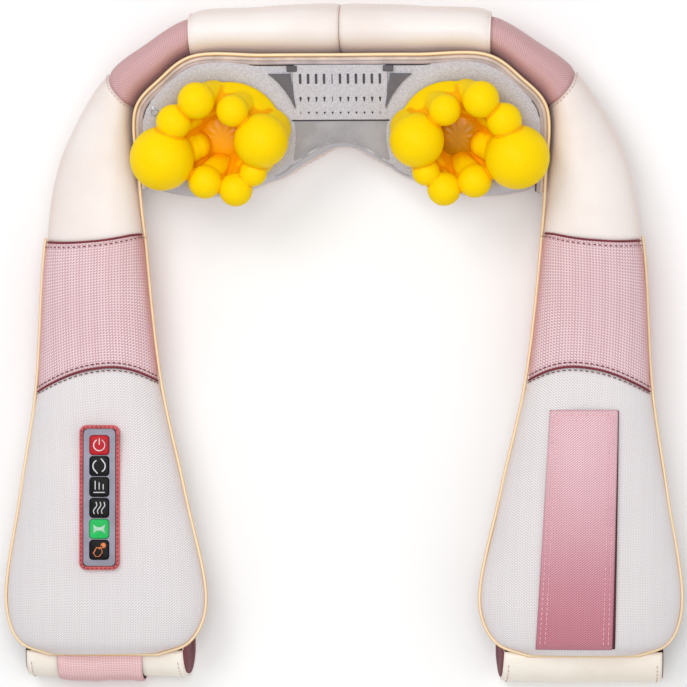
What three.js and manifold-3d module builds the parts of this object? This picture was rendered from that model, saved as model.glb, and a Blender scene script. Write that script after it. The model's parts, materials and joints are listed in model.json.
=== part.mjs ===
// Shiatsu neck massager: a padded U-shaped collar that lies on its back with the massage side up.
// Two powered massage heads stand on a gearbox pod at the neck. Each arm holds a vibration motor
// and ends in a stuffed pouch with a hand loop; the left pouch carries the control panel.
// Millimetres. +X is to the right, +Y runs towards the neck, +Z is up, out of the massage side.

import * as THREE from 'three';
import { mergeVertices } from 'three/addons/utils/BufferGeometryUtils.js';
import Module from 'manifold-3d';

const wasm = await Module();
wasm.setup();

// ---- Overall sizes -------------------------------------------------------------------------
const neckLevel = 239;          // outer edge of the collar above the level of the arm hinges' datum
const pouchLevel = -217;        // bottom edge of the pouches
const halfSpan = 236.3;         // outer edge of a pouch at its widest, from the middle plane
const neckDepth = 38;           // cover at the middle of the neck, outer to inner edge
const neckThickness = 95;       // cover at the middle of the neck, back to front
const wall = 2;                 // leather or mesh with its backing
const fit = 0.3;                // clearance between neighbouring pieces
const foamEase = halfSpan / 108; // foam cores stay this far inside their covers
const sectionSides = 16;        // points around a padded section
const squareness = 2.6;         // superellipse power of the padded sections

// ---- Arms ----------------------------------------------------------------------------------
const wedgeSeam = 105;          // half width of the cream neck cover
const shoulderSeamLevel = 75;   // seam between shoulder and pink band, the arm's flex line
const bandLength = 104;
const bandWidth = 69;
const pouchWidth = 139;
const pouchBackLevel = 23;      // back of the pouches, above the surface the loops lie on
const pouchThickness = 45;
const pipingRadius = 1.25;
const pipingStandOff = halfSpan / 86; // from the cover's edge to the middle of the cord

// ---- Hand loops and straps -----------------------------------------------------------------
const loopWidth = 116;
const loopThickness = 2.4;
const loopDrop = 19;            // how far the loop hangs below the pouch
const loopRise = 66;            // how far the loop's back run reaches up behind the pouch
const strapWidth = 50;
const strapThickness = 2;
const strapTopLevel = -46;

// ---- Gearbox pod and heads -----------------------------------------------------------------
const podFrontLevel = 62;       // height of the pod's front face at the head axes
const headAxisLevel = neckLevel - 93; // where the head axes cross the pod's front face
const headSpacing = 172;
const headTilt = THREE.MathUtils.degToRad(20);
const ringRadius = 32;          // circle through the small balls
const ringHeight = 30;          // balls' centres above the pod's front face
const bigBall = 22;
const smallBall = 12;
const shaftRadius = 4;
const hubRadius = 17;

// ---- Drive ---------------------------------------------------------------------------------
const toothPitch = 3.927;
const wheelTeeth = 28;
const wormPitchRadius = 5;
const toothReach = 1;           // addendum
const toothRoot = 1.35;         // dedendum
const wheelWidth = 6;
const wormLength = 18;
const wheelPitchRadius = toothPitch * wheelTeeth / (2 * Math.PI);
const wormOffset = wheelPitchRadius + wormPitchRadius;
const driveDepth = 20;          // wheels' mid-plane below the pod's front face
const motorRadius = 12.5;
const motorLength = 62;
const rotorRadius = 2.5;
const caseWall = 2;
const bracketWall = 1.7;
const screwRadius = 1.6;

// ---- Control panel -------------------------------------------------------------------------
const buttonSize = 13.6;
const buttonPitch = buttonSize + 1;
const buttonCount = 6;
const buttonHeight = 5;
const panelWidth = buttonSize + 14.4;
const panelLength = buttonCount * buttonPitch + 13.4;
const panelBorder = 2.6;
const panelCentre = new THREE.Vector2(-168.5, -107);
const trayDepth = 11;

// ---- Vibration motors ----------------------------------------------------------------------
const vibRadius = 11;
const vibLength = 28;
const vibCentre = new THREE.Vector2(174, 33);
const vibLevel = 39;
const weightRadius = 8.5;
const weightWidth = 7;

// ---- Materials -----------------------------------------------------------------------------
const material = (color, roughness, metalness = 0) =>
  new THREE.MeshStandardMaterial({ color, roughness, metalness });
const finishes = {
  leather: () => material(0xf3e9e4, 0.42),
  weave: () => material(0xd9aeb2, 0.7),
  canvas: () => material(0xe9e2e3, 0.75),
  piping: () => material(0xf0d7a5, 0.45),
  mesh: () => material(0xc3c0c6, 0.85),
  liner: () => material(0x8d8a90, 0.8),
  foam: () => material(0xf6f0dc, 0.95),
  casing: () => material(0x3c3d45, 0.5),
  steel: () => material(0xb9bcc2, 0.3, 0.9),
  brass: () => material(0xc9a25a, 0.35, 0.9),
  rubber: () => material(0xffdc12, 0.35),
  amber: () => material(0xf0a814, 0.3),
  nylon: () => material(0xe8e4d8, 0.5),
  board: () => material(0x1f5f3a, 0.6),
  border: () => material(0xd75a62, 0.6),
  panel: () => material(0x9b98aa, 0.5),
  key: () => material(0x202024, 0.35),
  redKey: () => material(0xd8383c, 0.35),
  greenKey: () => material(0x35c46a, 0.35),
};

// ---- Solid helpers -------------------------------------------------------------------------
function solidOf(geometry) {
  const plain = geometry.clone();
  plain.deleteAttribute('normal');
  plain.deleteAttribute('uv');
  const merged = mergeVertices(plain, 1e-4);
  const vertProperties = Float32Array.from(merged.attributes.position.array);
  const triVerts = Uint32Array.from(merged.index.array);
  return new wasm.Manifold(new wasm.Mesh({ numProp: 3, vertProperties, triVerts }));
}

function geometryOf(solid) {
  const { vertProperties, triVerts } = solid.getMesh();
  const geometry = new THREE.BufferGeometry();
  geometry.setAttribute('position', new THREE.BufferAttribute(vertProperties, 3));
  geometry.setIndex(new THREE.BufferAttribute(triVerts, 1));
  geometry.computeVertexNormals();
  return geometry;
}

const combine = (operation, base, tools) =>
  geometryOf(tools.reduce((solid, tool) => solid[operation](solidOf(tool)), solidOf(base)));
const cut = (base, ...tools) => combine('subtract', base, tools);
const join = (base, ...tools) => combine('add', base, tools);
const common = (base, ...tools) => combine('intersect', base, tools);

function volumeOf(positions, faces) {
  let volume = 0;
  const [a, b, c] = [new THREE.Vector3(), new THREE.Vector3(), new THREE.Vector3()];
  for (let i = 0; i < faces.length; i += 3) {
    a.fromArray(positions, faces[i] * 3);
    b.fromArray(positions, faces[i + 1] * 3);
    c.fromArray(positions, faces[i + 2] * 3);
    volume += a.dot(b.cross(c)) / 6;
  }
  return volume;
}

// Skins closed rings of points. A looped skin joins its last ring to its first; any other is capped.
function skin(rings, looped = false) {
  const sides = rings[0].length;
  const positions = rings.flat().flatMap((p) => [p.x, p.y, p.z]);
  const faces = [];
  const at = (ring, side) => (ring % rings.length) * sides + (side % sides);
  const spans = looped ? rings.length : rings.length - 1;
  for (let ring = 0; ring < spans; ring += 1) {
    for (let side = 0; side < sides; side += 1) {
      const corners = [at(ring, side), at(ring + 1, side), at(ring + 1, side + 1), at(ring, side + 1)];
      faces.push(corners[0], corners[1], corners[2], corners[0], corners[2], corners[3]);
    }
  }
  if (!looped) {
    for (const [ring, turned] of [[0, false], [rings.length - 1, true]]) {
      const middle = new THREE.Vector3();
      rings[ring].forEach((p) => middle.addScaledVector(p, 1 / sides));
      const tip = positions.length / 3;
      positions.push(middle.x, middle.y, middle.z);
      for (let side = 0; side < sides; side += 1) {
        const pair = [at(ring, side), at(ring, side + 1)];
        faces.push(tip, ...(turned ? pair.reverse() : pair));
      }
    }
  }
  if (volumeOf(positions, faces) < 0) faces.reverse();
  const geometry = new THREE.BufferGeometry();
  geometry.setAttribute('position', new THREE.Float32BufferAttribute(positions, 3));
  geometry.setIndex(faces);
  geometry.computeVertexNormals();
  return geometry;
}

// The same piece on the other side of the middle plane.
function mirrored(geometry) {
  const other = mergeVertices(geometry.clone().deleteAttribute('normal').deleteAttribute('uv'), 1e-4);
  other.scale(-1, 1, 1);
  other.setIndex([...other.index.array].reverse());
  other.computeVertexNormals();
  return other;
}

const box = (x, y, z, [cx, cy, cz] = [0, 0, 0]) =>
  new THREE.BoxGeometry(x, y, z).translate(cx, cy, cz);
const rod = (radius, length, sides = 16) =>
  new THREE.CylinderGeometry(radius, radius, length, sides).rotateX(Math.PI / 2);
const extruded = (shape, depth, steps = 6) =>
  new THREE.ExtrudeGeometry(shape, { depth, bevelEnabled: false, curveSegments: steps });

function roundedRectangle(width, height, radius) {
  const [x, y] = [width / 2, height / 2];
  const shape = new THREE.Shape();
  shape.moveTo(-x + radius, -y);
  shape.lineTo(x - radius, -y);
  shape.absarc(x - radius, -y + radius, radius, -Math.PI / 2, 0);
  shape.lineTo(x, y - radius);
  shape.absarc(x - radius, y - radius, radius, 0, Math.PI / 2);
  shape.lineTo(-x + radius, y);
  shape.absarc(-x + radius, y - radius, radius, Math.PI / 2, Math.PI);
  shape.lineTo(-x, -y + radius);
  shape.absarc(-x + radius, -y + radius, radius, Math.PI, Math.PI * 1.5);
  return shape;
}

// A ring-shaped piece on the Z axis, from its inner to its outer radius.
function sleeveRing(inner, outer, length, sides = 16) {
  const profile = [[inner, 0], [outer, 0], [outer, length], [inner, length], [inner, 0]];
  const points = profile.map(([r, z]) => new THREE.Vector2(r, z));
  return new THREE.LatheGeometry(points, sides).rotateX(Math.PI / 2);
}

// ---- Collar outline --------------------------------------------------------------------------
// Stations run from the middle of the neck to the bottom of a pouch. Each holds the collar's outer
// and inner edge, the height of its back and the height of its front.
const neckInner = neckLevel - neckDepth;
const pouchSeamLevel = shoulderSeamLevel - bandLength;
const pouchWidestLevel = pouchLevel + 33;
const bandOuter = 210;
const bandInner = bandOuter - bandWidth;
const pouchInner = halfSpan - pouchWidth;
const station = (outer, inner, back, front) => ({ outer, inner, back, front });
const stations = [
  station([0, neckLevel], [0, neckInner], 0.5, neckThickness),
  station([wedgeSeam / 2, neckLevel - 2], [wedgeSeam / 2, neckInner], 0.5, neckThickness - 1),
  station([wedgeSeam, neckLevel - 10], [wedgeSeam - 1, neckInner - 1.5], 1, neckThickness - 4),
  station([wedgeSeam + 32, neckLevel - 27], [wedgeSeam + 21, neckInner - 16], 3, neckThickness - 10),
  station([wedgeSeam + 59, neckLevel - 47], [wedgeSeam + 39, neckInner - 36], 5, neckThickness - 17),
  station([bandOuter - 12, shoulderSeamLevel + 61], [bandInner + 2.5, shoulderSeamLevel + 40], 10, 68),
  station([bandOuter, shoulderSeamLevel], [bandInner, shoulderSeamLevel + 2], 14, 62),
  station([bandOuter + 6.5, pouchSeamLevel - 4], [bandInner - 11.5, pouchSeamLevel + 4], 19, 62),
  station([halfSpan - 10, pouchWidestLevel + 80], [pouchInner + 14.5, pouchWidestLevel + 80],
    pouchBackLevel, pouchBackLevel + pouchThickness),
  station([halfSpan, pouchWidestLevel], [pouchInner, pouchWidestLevel],
    pouchBackLevel, pouchBackLevel + pouchThickness - 3),
  station([halfSpan - 9, pouchLevel + 9], [pouchInner + 11, pouchLevel + 9],
    pouchBackLevel + 4, pouchBackLevel + pouchThickness - 8),
  station([halfSpan - 30, pouchLevel], [pouchInner + 33, pouchLevel],
    pouchBackLevel + 9, pouchBackLevel + pouchThickness - 15),
];
const seams = { middle: 0, wedge: 2, shoulder: 4, band: 6, pouch: 7, bottom: stations.length - 1 };
const edgeCurve = (edge) =>
  new THREE.CatmullRomCurve3(stations.map((s) => new THREE.Vector3(...s[edge], 0)), false, 'centripetal');
const levelCurve = (level) =>
  new THREE.CatmullRomCurve3(stations.map((s, index) => new THREE.Vector3(index, s[level], 0)));
const outerEdge = edgeCurve('outer');
const innerEdge = edgeCurve('inner');
const backLevel = levelCurve('back');
const frontLevel = levelCurve('front');
const along = (place) => place / seams.bottom;

// One closed padded section at a place along the collar, drawn in by the inset.
function section(place, inset, side) {
  const outer = outerEdge.getPoint(along(place));
  const inner = innerEdge.getPoint(along(place));
  const back = backLevel.getPoint(along(place)).y;
  const front = frontLevel.getPoint(along(place)).y;
  const across = outer.clone().sub(inner);
  const halfWidth = across.length() / 2 - inset;
  const halfHeight = (front - back) / 2 - inset;
  across.normalize();
  const middle = outer.clone().add(inner).multiplyScalar(0.5);
  const power = 2 / squareness;
  return Array.from({ length: sectionSides }, (_, index) => {
    const angle = 2 * Math.PI * index / sectionSides;
    const [c, s] = [Math.cos(angle), Math.sin(angle)];
    const u = Math.sign(c) * Math.abs(c) ** power * halfWidth;
    const v = Math.sign(s) * Math.abs(s) ** power * halfHeight;
    const x = side * (middle.x + across.x * u);
    return new THREE.Vector3(x, middle.y + across.y * u, (back + front) / 2 + v);
  });
}

// Sections between two places, spaced evenly, with a small gap left at each end.
function sections(from, to, count, inset, side) {
  return Array.from({ length: count + 1 }, (_, index) =>
    section(THREE.MathUtils.lerp(from, to, index / count), inset, side));
}

const endGap = 0.006;
const openSleeve = (from, to, count, side) => skin([
  ...sections(from + endGap, to - endGap, count, 0, side),
  ...sections(from + endGap, to - endGap, count, wall, side).reverse(),
], true);

const closedCore = (from, to, count, inset, side) => skin(sections(from, to, count, inset, side));

// A piping cord laid along an edge of the collar.
function piping(points) {
  const path = new THREE.CatmullRomCurve3(points, false, 'centripetal');
  const round = new THREE.Shape();
  round.absarc(0, 0, pipingRadius, 0, Math.PI * 2);
  return new THREE.ExtrudeGeometry(round, {
    extrudePath: path, steps: Math.round(points.length * 1.2), curveSegments: 4, bevelEnabled: false,
  });
}

// ---- Assembly --------------------------------------------------------------------------------
const group = new THREE.Group();
const add = (name, geometry, finish, parent = group) => {
  const mesh = new THREE.Mesh(geometry, finish);
  mesh.name = name;
  parent.add(mesh);
  return mesh;
};
const sides = [['left', -1], ['right', 1]];

// ---- Padded neck and shoulders ---------------------------------------------------------------
const coreInset = wall + foamEase;
for (const [name, side] of sides) {
  add(`neck_cover_${name}`, openSleeve(seams.middle, seams.wedge, 4, side), finishes.leather());
  add(`wedge_panel_${name}`, openSleeve(seams.wedge, seams.shoulder, 4, side), finishes.weave());
  add(`shoulder_cover_${name}`, openSleeve(seams.shoulder, seams.band, 5, side), finishes.leather());
}
const collarHalf = (side) => sections(0.3, seams.band - 0.01, 9, coreInset, side);
add('collar_foam', skin([...collarHalf(-1).reverse(), ...collarHalf(1)]), finishes.foam());

// ---- Arms ------------------------------------------------------------------------------------
const frontOf = (place) => frontLevel.getPoint(along(place)).y;
const pouchOuterSolid = (inset, side) => closedCore(seams.pouch + endGap, seams.bottom, 8, inset, side);

function pouch(side) {
  const outside = sections(seams.pouch + endGap, seams.bottom, 8, 0, side);
  const inside = sections(seams.pouch + endGap, seams.bottom - 0.18, 8, wall, side);
  return skin([...outside.reverse(), ...inside]);
}

const vibReach = weightWidth + 4;    // room past the can for the weight on its shaft
function armFoam(side) {
  const core = closedCore(seams.band + 0.01, seams.bottom - 0.3, 9, coreInset, side);
  const pocketTop = vibLevel + vibRadius + 1.5;
  const pocketCentre = [side * vibCentre.x, vibCentre.y + vibReach / 2, 0];
  const pocket = box(2 * vibRadius + 8, vibLength + vibReach + 4, 2 * pocketTop, pocketCentre);
  return cut(core, pocket);
}

function armPiping(side) {
  const standOff = pipingStandOff;
  const points = [];
  const edgePoint = (curve, place, outward) => {
    const point = curve.getPoint(along(place));
    const tangent = curve.getTangent(along(place));
    const level = (frontOf(place) + backLevel.getPoint(along(place)).y) / 2;
    points.push(new THREE.Vector3(
      side * (point.x - outward * tangent.y * standOff), point.y + outward * tangent.x * standOff, level));
  };
  for (let place = seams.band + 0.05; place <= seams.bottom - 0.25; place += 0.35) {
    edgePoint(outerEdge, place, 1);
  }
  const bottom = stations[seams.bottom];
  const level = (bottom.front + bottom.back) / 2;
  for (const x of [bottom.outer[0], (bottom.outer[0] + bottom.inner[0]) / 2, bottom.inner[0]]) {
    points.push(new THREE.Vector3(side * x, pouchLevel - standOff, level));
  }
  for (let place = seams.bottom - 0.45; place >= seams.band + 0.05; place -= 0.35) {
    edgePoint(innerEdge, place, -1);
  }
  return piping(points);
}

// The strip that makes a hand loop, as a closed outline in the Y-Z plane, swept along X.
function loopStrip(lift, thickness, width, top, rises) {
  const low = pouchLevel - loopDrop - lift;
  const floor = 0;
  const depth = 27;
  const bend = 11;
  const centre = new THREE.Path();
  centre.moveTo(pouchLevel - pipingRadius * 2 - 1.2, 40 + lift);
  centre.quadraticCurveTo(low, 39 + lift, low, depth - bend);
  centre.quadraticCurveTo(low, floor - lift, low + bend * 1.6, floor - lift);
  centre.lineTo(top - 14, floor - lift);
  if (rises) centre.quadraticCurveTo(top, floor - lift, top, pouchBackLevel - 3.2);
  const run = centre.getPoints(5);
  const offset = run.map((point, index) => {
    const before = run[Math.max(index - 1, 0)];
    const after = run[Math.min(index + 1, run.length - 1)];
    const turn = after.clone().sub(before).normalize();
    return new THREE.Vector2(point.x - turn.y * thickness, point.y + turn.x * thickness);
  });
  const shape = new THREE.Shape([...run, ...offset.reverse()]);
  return extruded(shape, width).rotateX(Math.PI / 2).rotateZ(Math.PI / 2);
}

const loopTop = pouchLevel + loopRise;
const loopCentre = (halfSpan + pouchInner) / 2 - 1;
const wrapWidth = 60;

function strapOnPouch(side) {
  const shape = roundedRectangle(strapWidth, strapTopLevel - pouchLevel - 8, 1);
  const middle = (strapTopLevel + pouchLevel + 8) / 2;
  const column = extruded(shape, 60).translate(side * 166, middle, pouchBackLevel + pouchThickness / 2 + 8);
  const outside = pouchOuterSolid(-fit - strapThickness, side);
  return cut(common(column, outside), pouchOuterSolid(-fit, side));
}

const panelFront = pouchBackLevel + pouchThickness + 0.6;
const panelPlace = (z) => [panelCentre.x, panelCentre.y, z];
const trayWidth = panelWidth - 2 * panelBorder - 0.6;
const trayLength = panelLength - 2 * panelBorder - 0.6;
const trayOpening = (room, depth) =>
  box(trayWidth + 2 * room, trayLength + 2 * room, depth, panelPlace(panelFront - depth / 2 + 4));

for (const [name, side] of sides) {
  const arm = new THREE.Group();
  group.add(arm);
  const isLeft = side < 0;
  add(`arm_band_${name}`, openSleeve(seams.band, seams.pouch, 3, side), finishes.weave(), arm);
  const bag = isLeft ? cut(pouch(side), trayOpening(fit, 30)) : pouch(side);
  add(`pouch_${name}`, bag, finishes.canvas(), arm);
  const foam = isLeft ? cut(armFoam(side), trayOpening(fit, trayDepth + 8)) : armFoam(side);
  add(`arm_foam_${name}`, foam, finishes.foam(), arm);
  add(`arm_piping_${name}`, armPiping(side), finishes.piping(), arm);
  const strip = loopStrip(isLeft ? -strapThickness - fit - 0.4 : 0, loopThickness, loopWidth, loopTop, true);
  add(`hand_loop_${name}`, strip, finishes.leather(), arm).position.x = side * loopCentre - loopWidth / 2;
}
const wrap = loopStrip(0, strapThickness, wrapWidth, loopTop, false);
add('loop_wrap_left', wrap, finishes.weave()).position.x = -loopCentre - wrapWidth / 2;
add('front_strap_right', strapOnPouch(1), finishes.weave());

// ---- Vibration motors: can, cradle and eccentric weight on its shaft ---------------------------
for (const [name, side] of sides) {
  const motor = new THREE.Group();
  motor.position.set(side * vibCentre.x, vibCentre.y, vibLevel);
  motor.rotation.x = -Math.PI / 2;
  group.add(motor);
  const half = vibLength / 2;
  const can = new THREE.LatheGeometry([
    [1.4, -half], [vibRadius, -half], [vibRadius, half - 2], [vibRadius - 2, half], [1.4, half], [1.4, -half],
  ].map(([r, z]) => new THREE.Vector2(r, z)), 16).rotateX(Math.PI / 2);
  add(`vibration_motor_${name}`, can, finishes.steel(), motor);
  const saddle = cut(
    box(2 * vibRadius + 6, vibRadius + 3, vibLength - 8, [0, vibRadius / 2 + 1.5, 0]),
    rod(vibRadius + fit, vibLength),
  );
  add(`motor_cradle_${name}`, saddle, finishes.nylon(), motor);
  const shape = new THREE.Shape();
  shape.absarc(0, 0, weightRadius, 0, Math.PI);
  const lobe = extruded(shape, weightWidth, 8).translate(0, 0, half + 1.5);
  const axle = rod(1.1, vibLength + weightWidth + 3, 12).translate(0, 0, (weightWidth + 3) / 2);
  add(`eccentric_weight_${name}`, join(axle, lobe), finishes.brass(), motor);
}

// ---- Control panel ---------------------------------------------------------------------------
const panelSheet = (width, length, radius, thickness, z) =>
  extruded(roundedRectangle(width, length, radius), thickness, 4).translate(...panelPlace(z));
const innerWidth = panelWidth - 2 * panelBorder;
const innerLength = panelLength - 2 * panelBorder;
add('panel_border', cut(
  panelSheet(panelWidth, panelLength, 5, 2.2, panelFront),
  panelSheet(innerWidth, innerLength, 3.5, 6, panelFront - 2),
), finishes.border());
const buttonCentre = (index) => panelCentre.y + ((buttonCount - 1) / 2 - index) * buttonPitch;
const buttonHoles = Array.from({ length: buttonCount }, (_, index) =>
  extruded(roundedRectangle(buttonSize + 2 * fit, buttonSize + 2 * fit, 2.6), 8, 2)
    .translate(panelCentre.x, buttonCentre(index), panelFront - 4));
add('panel_face', cut(
  panelSheet(innerWidth - 2 * fit, innerLength - 2 * fit, 3.2, 1.4, panelFront + 0.2),
  ...buttonHoles,
), finishes.panel());
const trayTop = panelFront - 0.2;
add('control_tray', cut(
  box(trayWidth, trayLength, trayDepth, panelPlace(trayTop - trayDepth / 2)),
  box(trayWidth - 2.4, trayLength - 2.4, trayDepth, panelPlace(trayTop - trayDepth / 2 + 1.2)),
), finishes.casing());
const boardTop = trayTop - trayDepth + 4;
add('button_board', box(trayWidth - 3, trayLength - 3, 1.6, panelPlace(boardTop - 0.8)), finishes.board());
const buttonNames = ['power', 'rotation', 'speed', 'vibration', 'massage', 'heat'];
const buttonFinishes = { power: finishes.redKey, massage: finishes.greenKey };
buttonNames.forEach((name, index) => {
  const cap = extruded(roundedRectangle(buttonSize, buttonSize, 2.4), buttonHeight, 2);
  const finish = (buttonFinishes[name] ?? finishes.key)();
  add(`button_${name}`, cap, finish).position.set(
    panelCentre.x, buttonCentre(index), panelFront + 2.6 - buttonHeight);
});

// ---- Gearbox pod -----------------------------------------------------------------------------
const slope = Math.tan(headTilt);
const podFrontAt = (y) => podFrontLevel + (y - headAxisLevel) * slope;
const headX = headSpacing / 2;
const podBottom = headAxisLevel - 44;

// The pod's outline seen from the front: two lobes under the heads and an arch between them.
function podOutline(inset) {
  const half = [
    [0, podBottom + 40], [14, podBottom + 36.5], [29, podBottom + 28], [43, podBottom + 17],
    [headX - 24, podBottom + 5], [headX + 4, podBottom], [headX + 34, podBottom + 5],
    [headX + 50, podBottom + 16], [headX + 54.5, podBottom + 32], [headX + 55, podBottom + 48],
    [headX + 50, podBottom + 63], [wedgeSeam + 17, neckInner - 16], [wedgeSeam, neckInner - 5.5],
    [wedgeSeam - 9, neckInner - 1.2],
  ].map(([x, y]) => new THREE.Vector2(x, y));
  const points = [...half, ...half.slice(1).reverse().map((p) => new THREE.Vector2(-p.x, p.y))];
  return new THREE.Shape(points.map((point, index) => {
    const before = points[(index + points.length - 1) % points.length];
    const after = points[(index + 1) % points.length];
    const turn = after.clone().sub(before).normalize();
    return new THREE.Vector2(point.x - turn.y * inset, point.y + turn.x * inset);
  }));
}

// The pod's outline seen from the side, as a prism along X.
function podSide(inset) {
  const shape = new THREE.Shape();
  const [top, bottom] = [neckInner, podBottom - 3];
  shape.moveTo(top, inset);
  shape.lineTo(top, podFrontAt(top) - inset);
  shape.lineTo(bottom, podFrontAt(bottom) - inset);
  shape.lineTo(bottom, 24);
  shape.lineTo(podBottom + 10, 8 + inset);
  shape.lineTo(podBottom + 38, inset);
  return extruded(shape, 400).rotateX(Math.PI / 2).rotateZ(Math.PI / 2).translate(-200, 0, 0);
}

const podSolid = (inset) => common(extruded(podOutline(inset), 200).translate(0, 0, -20), podSide(inset));

// A frame whose Z axis runs along the head shafts, with its origin on the pod's front face.
const tilted = (geometry) => geometry.rotateX(headTilt).translate(0, headAxisLevel, podFrontLevel);
const shaftHoles = [-headX, headX].map((x) => tilted(rod(hubRadius - 3, 30)).translate(x, 0, 0));
const jackCentre = [0, podBottom + 44, 22];
const jackHole = rod(5.5 + fit, 30, 16).rotateX(Math.PI / 2).translate(...jackCentre);
const slotWidth = headSpacing - 108;
const slotHeight = 36;
const slotPanelY = 33;
const slotWindow = tilted(box(slotWidth + 2 * fit, slotHeight + 2 * fit, 9, [0, slotPanelY, 0]));
const podShell = cut(podSolid(0), podSolid(wall), ...shaftHoles, jackHole, slotWindow);
const splitLevel = 14;
const halfSpace = (side) =>
  box(2 * halfSpan, 2 * neckLevel, 200, [0, headAxisLevel, splitLevel + side * (100 + fit / 2)]);
add('mesh_liner', common(podShell, halfSpace(1)), finishes.mesh());
add('rear_cover', common(podShell, halfSpace(-1)), finishes.leather());

// Slotted panel between the heads: a row of tall slots over a row of short ones.
const slotCount = 11;
const slotPitch = slotWidth / (slotCount + 0.85);
const slotTools = [];
for (let index = 0; index < slotCount; index += 1) {
  const x = (index - (slotCount - 1) / 2) * slotPitch;
  slotTools.push(box(2.6, 9, 12, [x, slotPanelY + 9, 0]));
  slotTools.push(box(2, 4.5, 12, [x, slotPanelY - 4, 0]));
}
add('slot_panel', cut(box(slotWidth, slotHeight, 2, [0, slotPanelY, -0.4]), ...slotTools), finishes.mesh())
  .applyMatrix4(new THREE.Matrix4().makeRotationX(headTilt).setPosition(0, headAxisLevel, podFrontLevel));

// Pod parts below are placed in the tilted frame.
const pod = new THREE.Group();
pod.position.set(0, headAxisLevel, podFrontLevel);
pod.rotation.x = headTilt;
group.add(pod);

for (const [name, side] of sides) {
  const arc = new THREE.Shape();
  arc.absarc(0, 0, 53, -0.35, 0.75);
  arc.absarc(4, 0, 47, 0.75, -0.35, true);
  const trim = extruded(arc, 1.4, 8).translate(0, 0, fit);
  const placed = side < 0 ? trim : mirrored(trim);
  add(`liner_trim_${name}`, placed, finishes.liner(), pod).position.set(side * headX, 6, 0);
}

// ---- Gearbox ---------------------------------------------------------------------------------
const caseTop = -wall - 1.2;
const motorRoom = motorRadius + bracketWall + fit + caseWall;
const wheelRoom = wheelPitchRadius + toothReach + caseWall + 2;
const caseBottom = -driveDepth - motorRoom;
const caseLow = -wheelRoom;
const caseHigh = wormOffset + motorRoom;
const caseHalf = headX + wheelRoom;

// The case's outline: a lobe round each worm wheel and a straight bar along the worm shaft.
function caseBlock(inset, bottom, top) {
  const barHeight = 2 * (motorRoom - inset);
  const bar = box(headSpacing, barHeight, top - bottom, [0, wormOffset, (top + bottom) / 2]);
  const lobe = extruded(
    roundedRectangle(2 * (wheelRoom - inset), caseHigh - caseLow - 2 * inset, 12 - inset), top - bottom, 3,
  ).translate(0, (caseHigh + caseLow) / 2, bottom);
  return join(bar, lobe.clone().translate(headX, 0, 0), lobe.clone().translate(-headX, 0, 0));
}
const lidBottom = caseTop - caseWall;
const bossRadius = 4;
const bossInset = bossRadius + 2.5;
const bossPlaces = [-1, 1].map((end) => [end * (caseHalf - bossInset), caseHigh - bossInset]);
const bosses = bossPlaces.map(([x, y]) =>
  rod(bossRadius, lidBottom - caseBottom - 1 - fit, 12)
    .translate(x, y, (lidBottom - fit + caseBottom + 1) / 2));
const pilotHoles = bossPlaces.map(([x, y]) => rod(screwRadius + fit, 40, 10).translate(x, y, lidBottom));
const trayHollow = caseBlock(caseWall, caseBottom + caseWall, 10);
const trayShell = cut(caseBlock(0, caseBottom, lidBottom - fit), trayHollow);
add('rear_housing', cut(join(trayShell, ...bosses), ...pilotHoles), finishes.casing(), pod);

const bushOuter = shaftRadius + 2.5;
const bushHoles = [-headX, headX].map((x) => rod(bushOuter + fit, 30, 16).translate(x, 0, 0));
const lid = cut(caseBlock(0, lidBottom, caseTop), ...bushHoles, ...pilotHoles);
add('front_housing', lid, finishes.casing(), pod);

bossPlaces.forEach(([x, y], index) => {
  const screw = new THREE.LatheGeometry([
    [0, -12], [screwRadius, -12], [screwRadius, fit], [3, fit], [3, 0.8], [0, 0.8],
  ].map(([r, z]) => new THREE.Vector2(r, z)), 10).rotateX(Math.PI / 2);
  add(`case_screw_${index + 1}`, screw, finishes.steel(), pod).position.set(x, y, caseTop);
});

// Worm thread: a cylinder whose radius rises where the helix passes.
function worm(hand) {
  const around = 9;
  const axialSteps = Math.round(wormLength / toothPitch * 5);
  const height = (x, angle) => {
    const phase = x / toothPitch - hand * angle / (2 * Math.PI);
    const offset = Math.abs(phase - Math.floor(phase) - 0.5) * toothPitch;
    const ramp = THREE.MathUtils.clamp((1.1 - offset) / 0.6, 0, 1);
    return wormPitchRadius - toothRoot + ramp * (toothRoot + toothReach - 0.1);
  };
  const ring = (x, radiusAt) => Array.from({ length: around }, (_, index) => {
    const angle = 2 * Math.PI * index / around;
    const radius = radiusAt(angle);
    return new THREE.Vector3(x, -Math.cos(angle) * radius, -Math.sin(angle) * radius);
  });
  const rings = [];
  for (let step = 0; step <= axialSteps; step += 1) {
    const x = (step / axialSteps - 0.5) * wormLength;
    rings.push(ring(x, (angle) => height(x, angle)));
  }
  return skin(rings);
}

function wormWheel() {
  const outline = [];
  const points = [[-0.32, -toothRoot], [-0.17, toothReach], [0.17, toothReach], [0.32, -toothRoot]];
  for (let tooth = 0; tooth < wheelTeeth; tooth += 1) {
    for (const [shift, rise] of points) {
      const angle = Math.PI / 2 - 2 * Math.PI * (tooth + shift * 0.6) / wheelTeeth;
      const radius = wheelPitchRadius + rise;
      outline.push(new THREE.Vector2(Math.cos(angle) * radius, Math.sin(angle) * radius));
    }
  }
  return extruded(new THREE.Shape(outline), wheelWidth, 8).translate(0, 0, -driveDepth - wheelWidth / 2);
}

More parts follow.
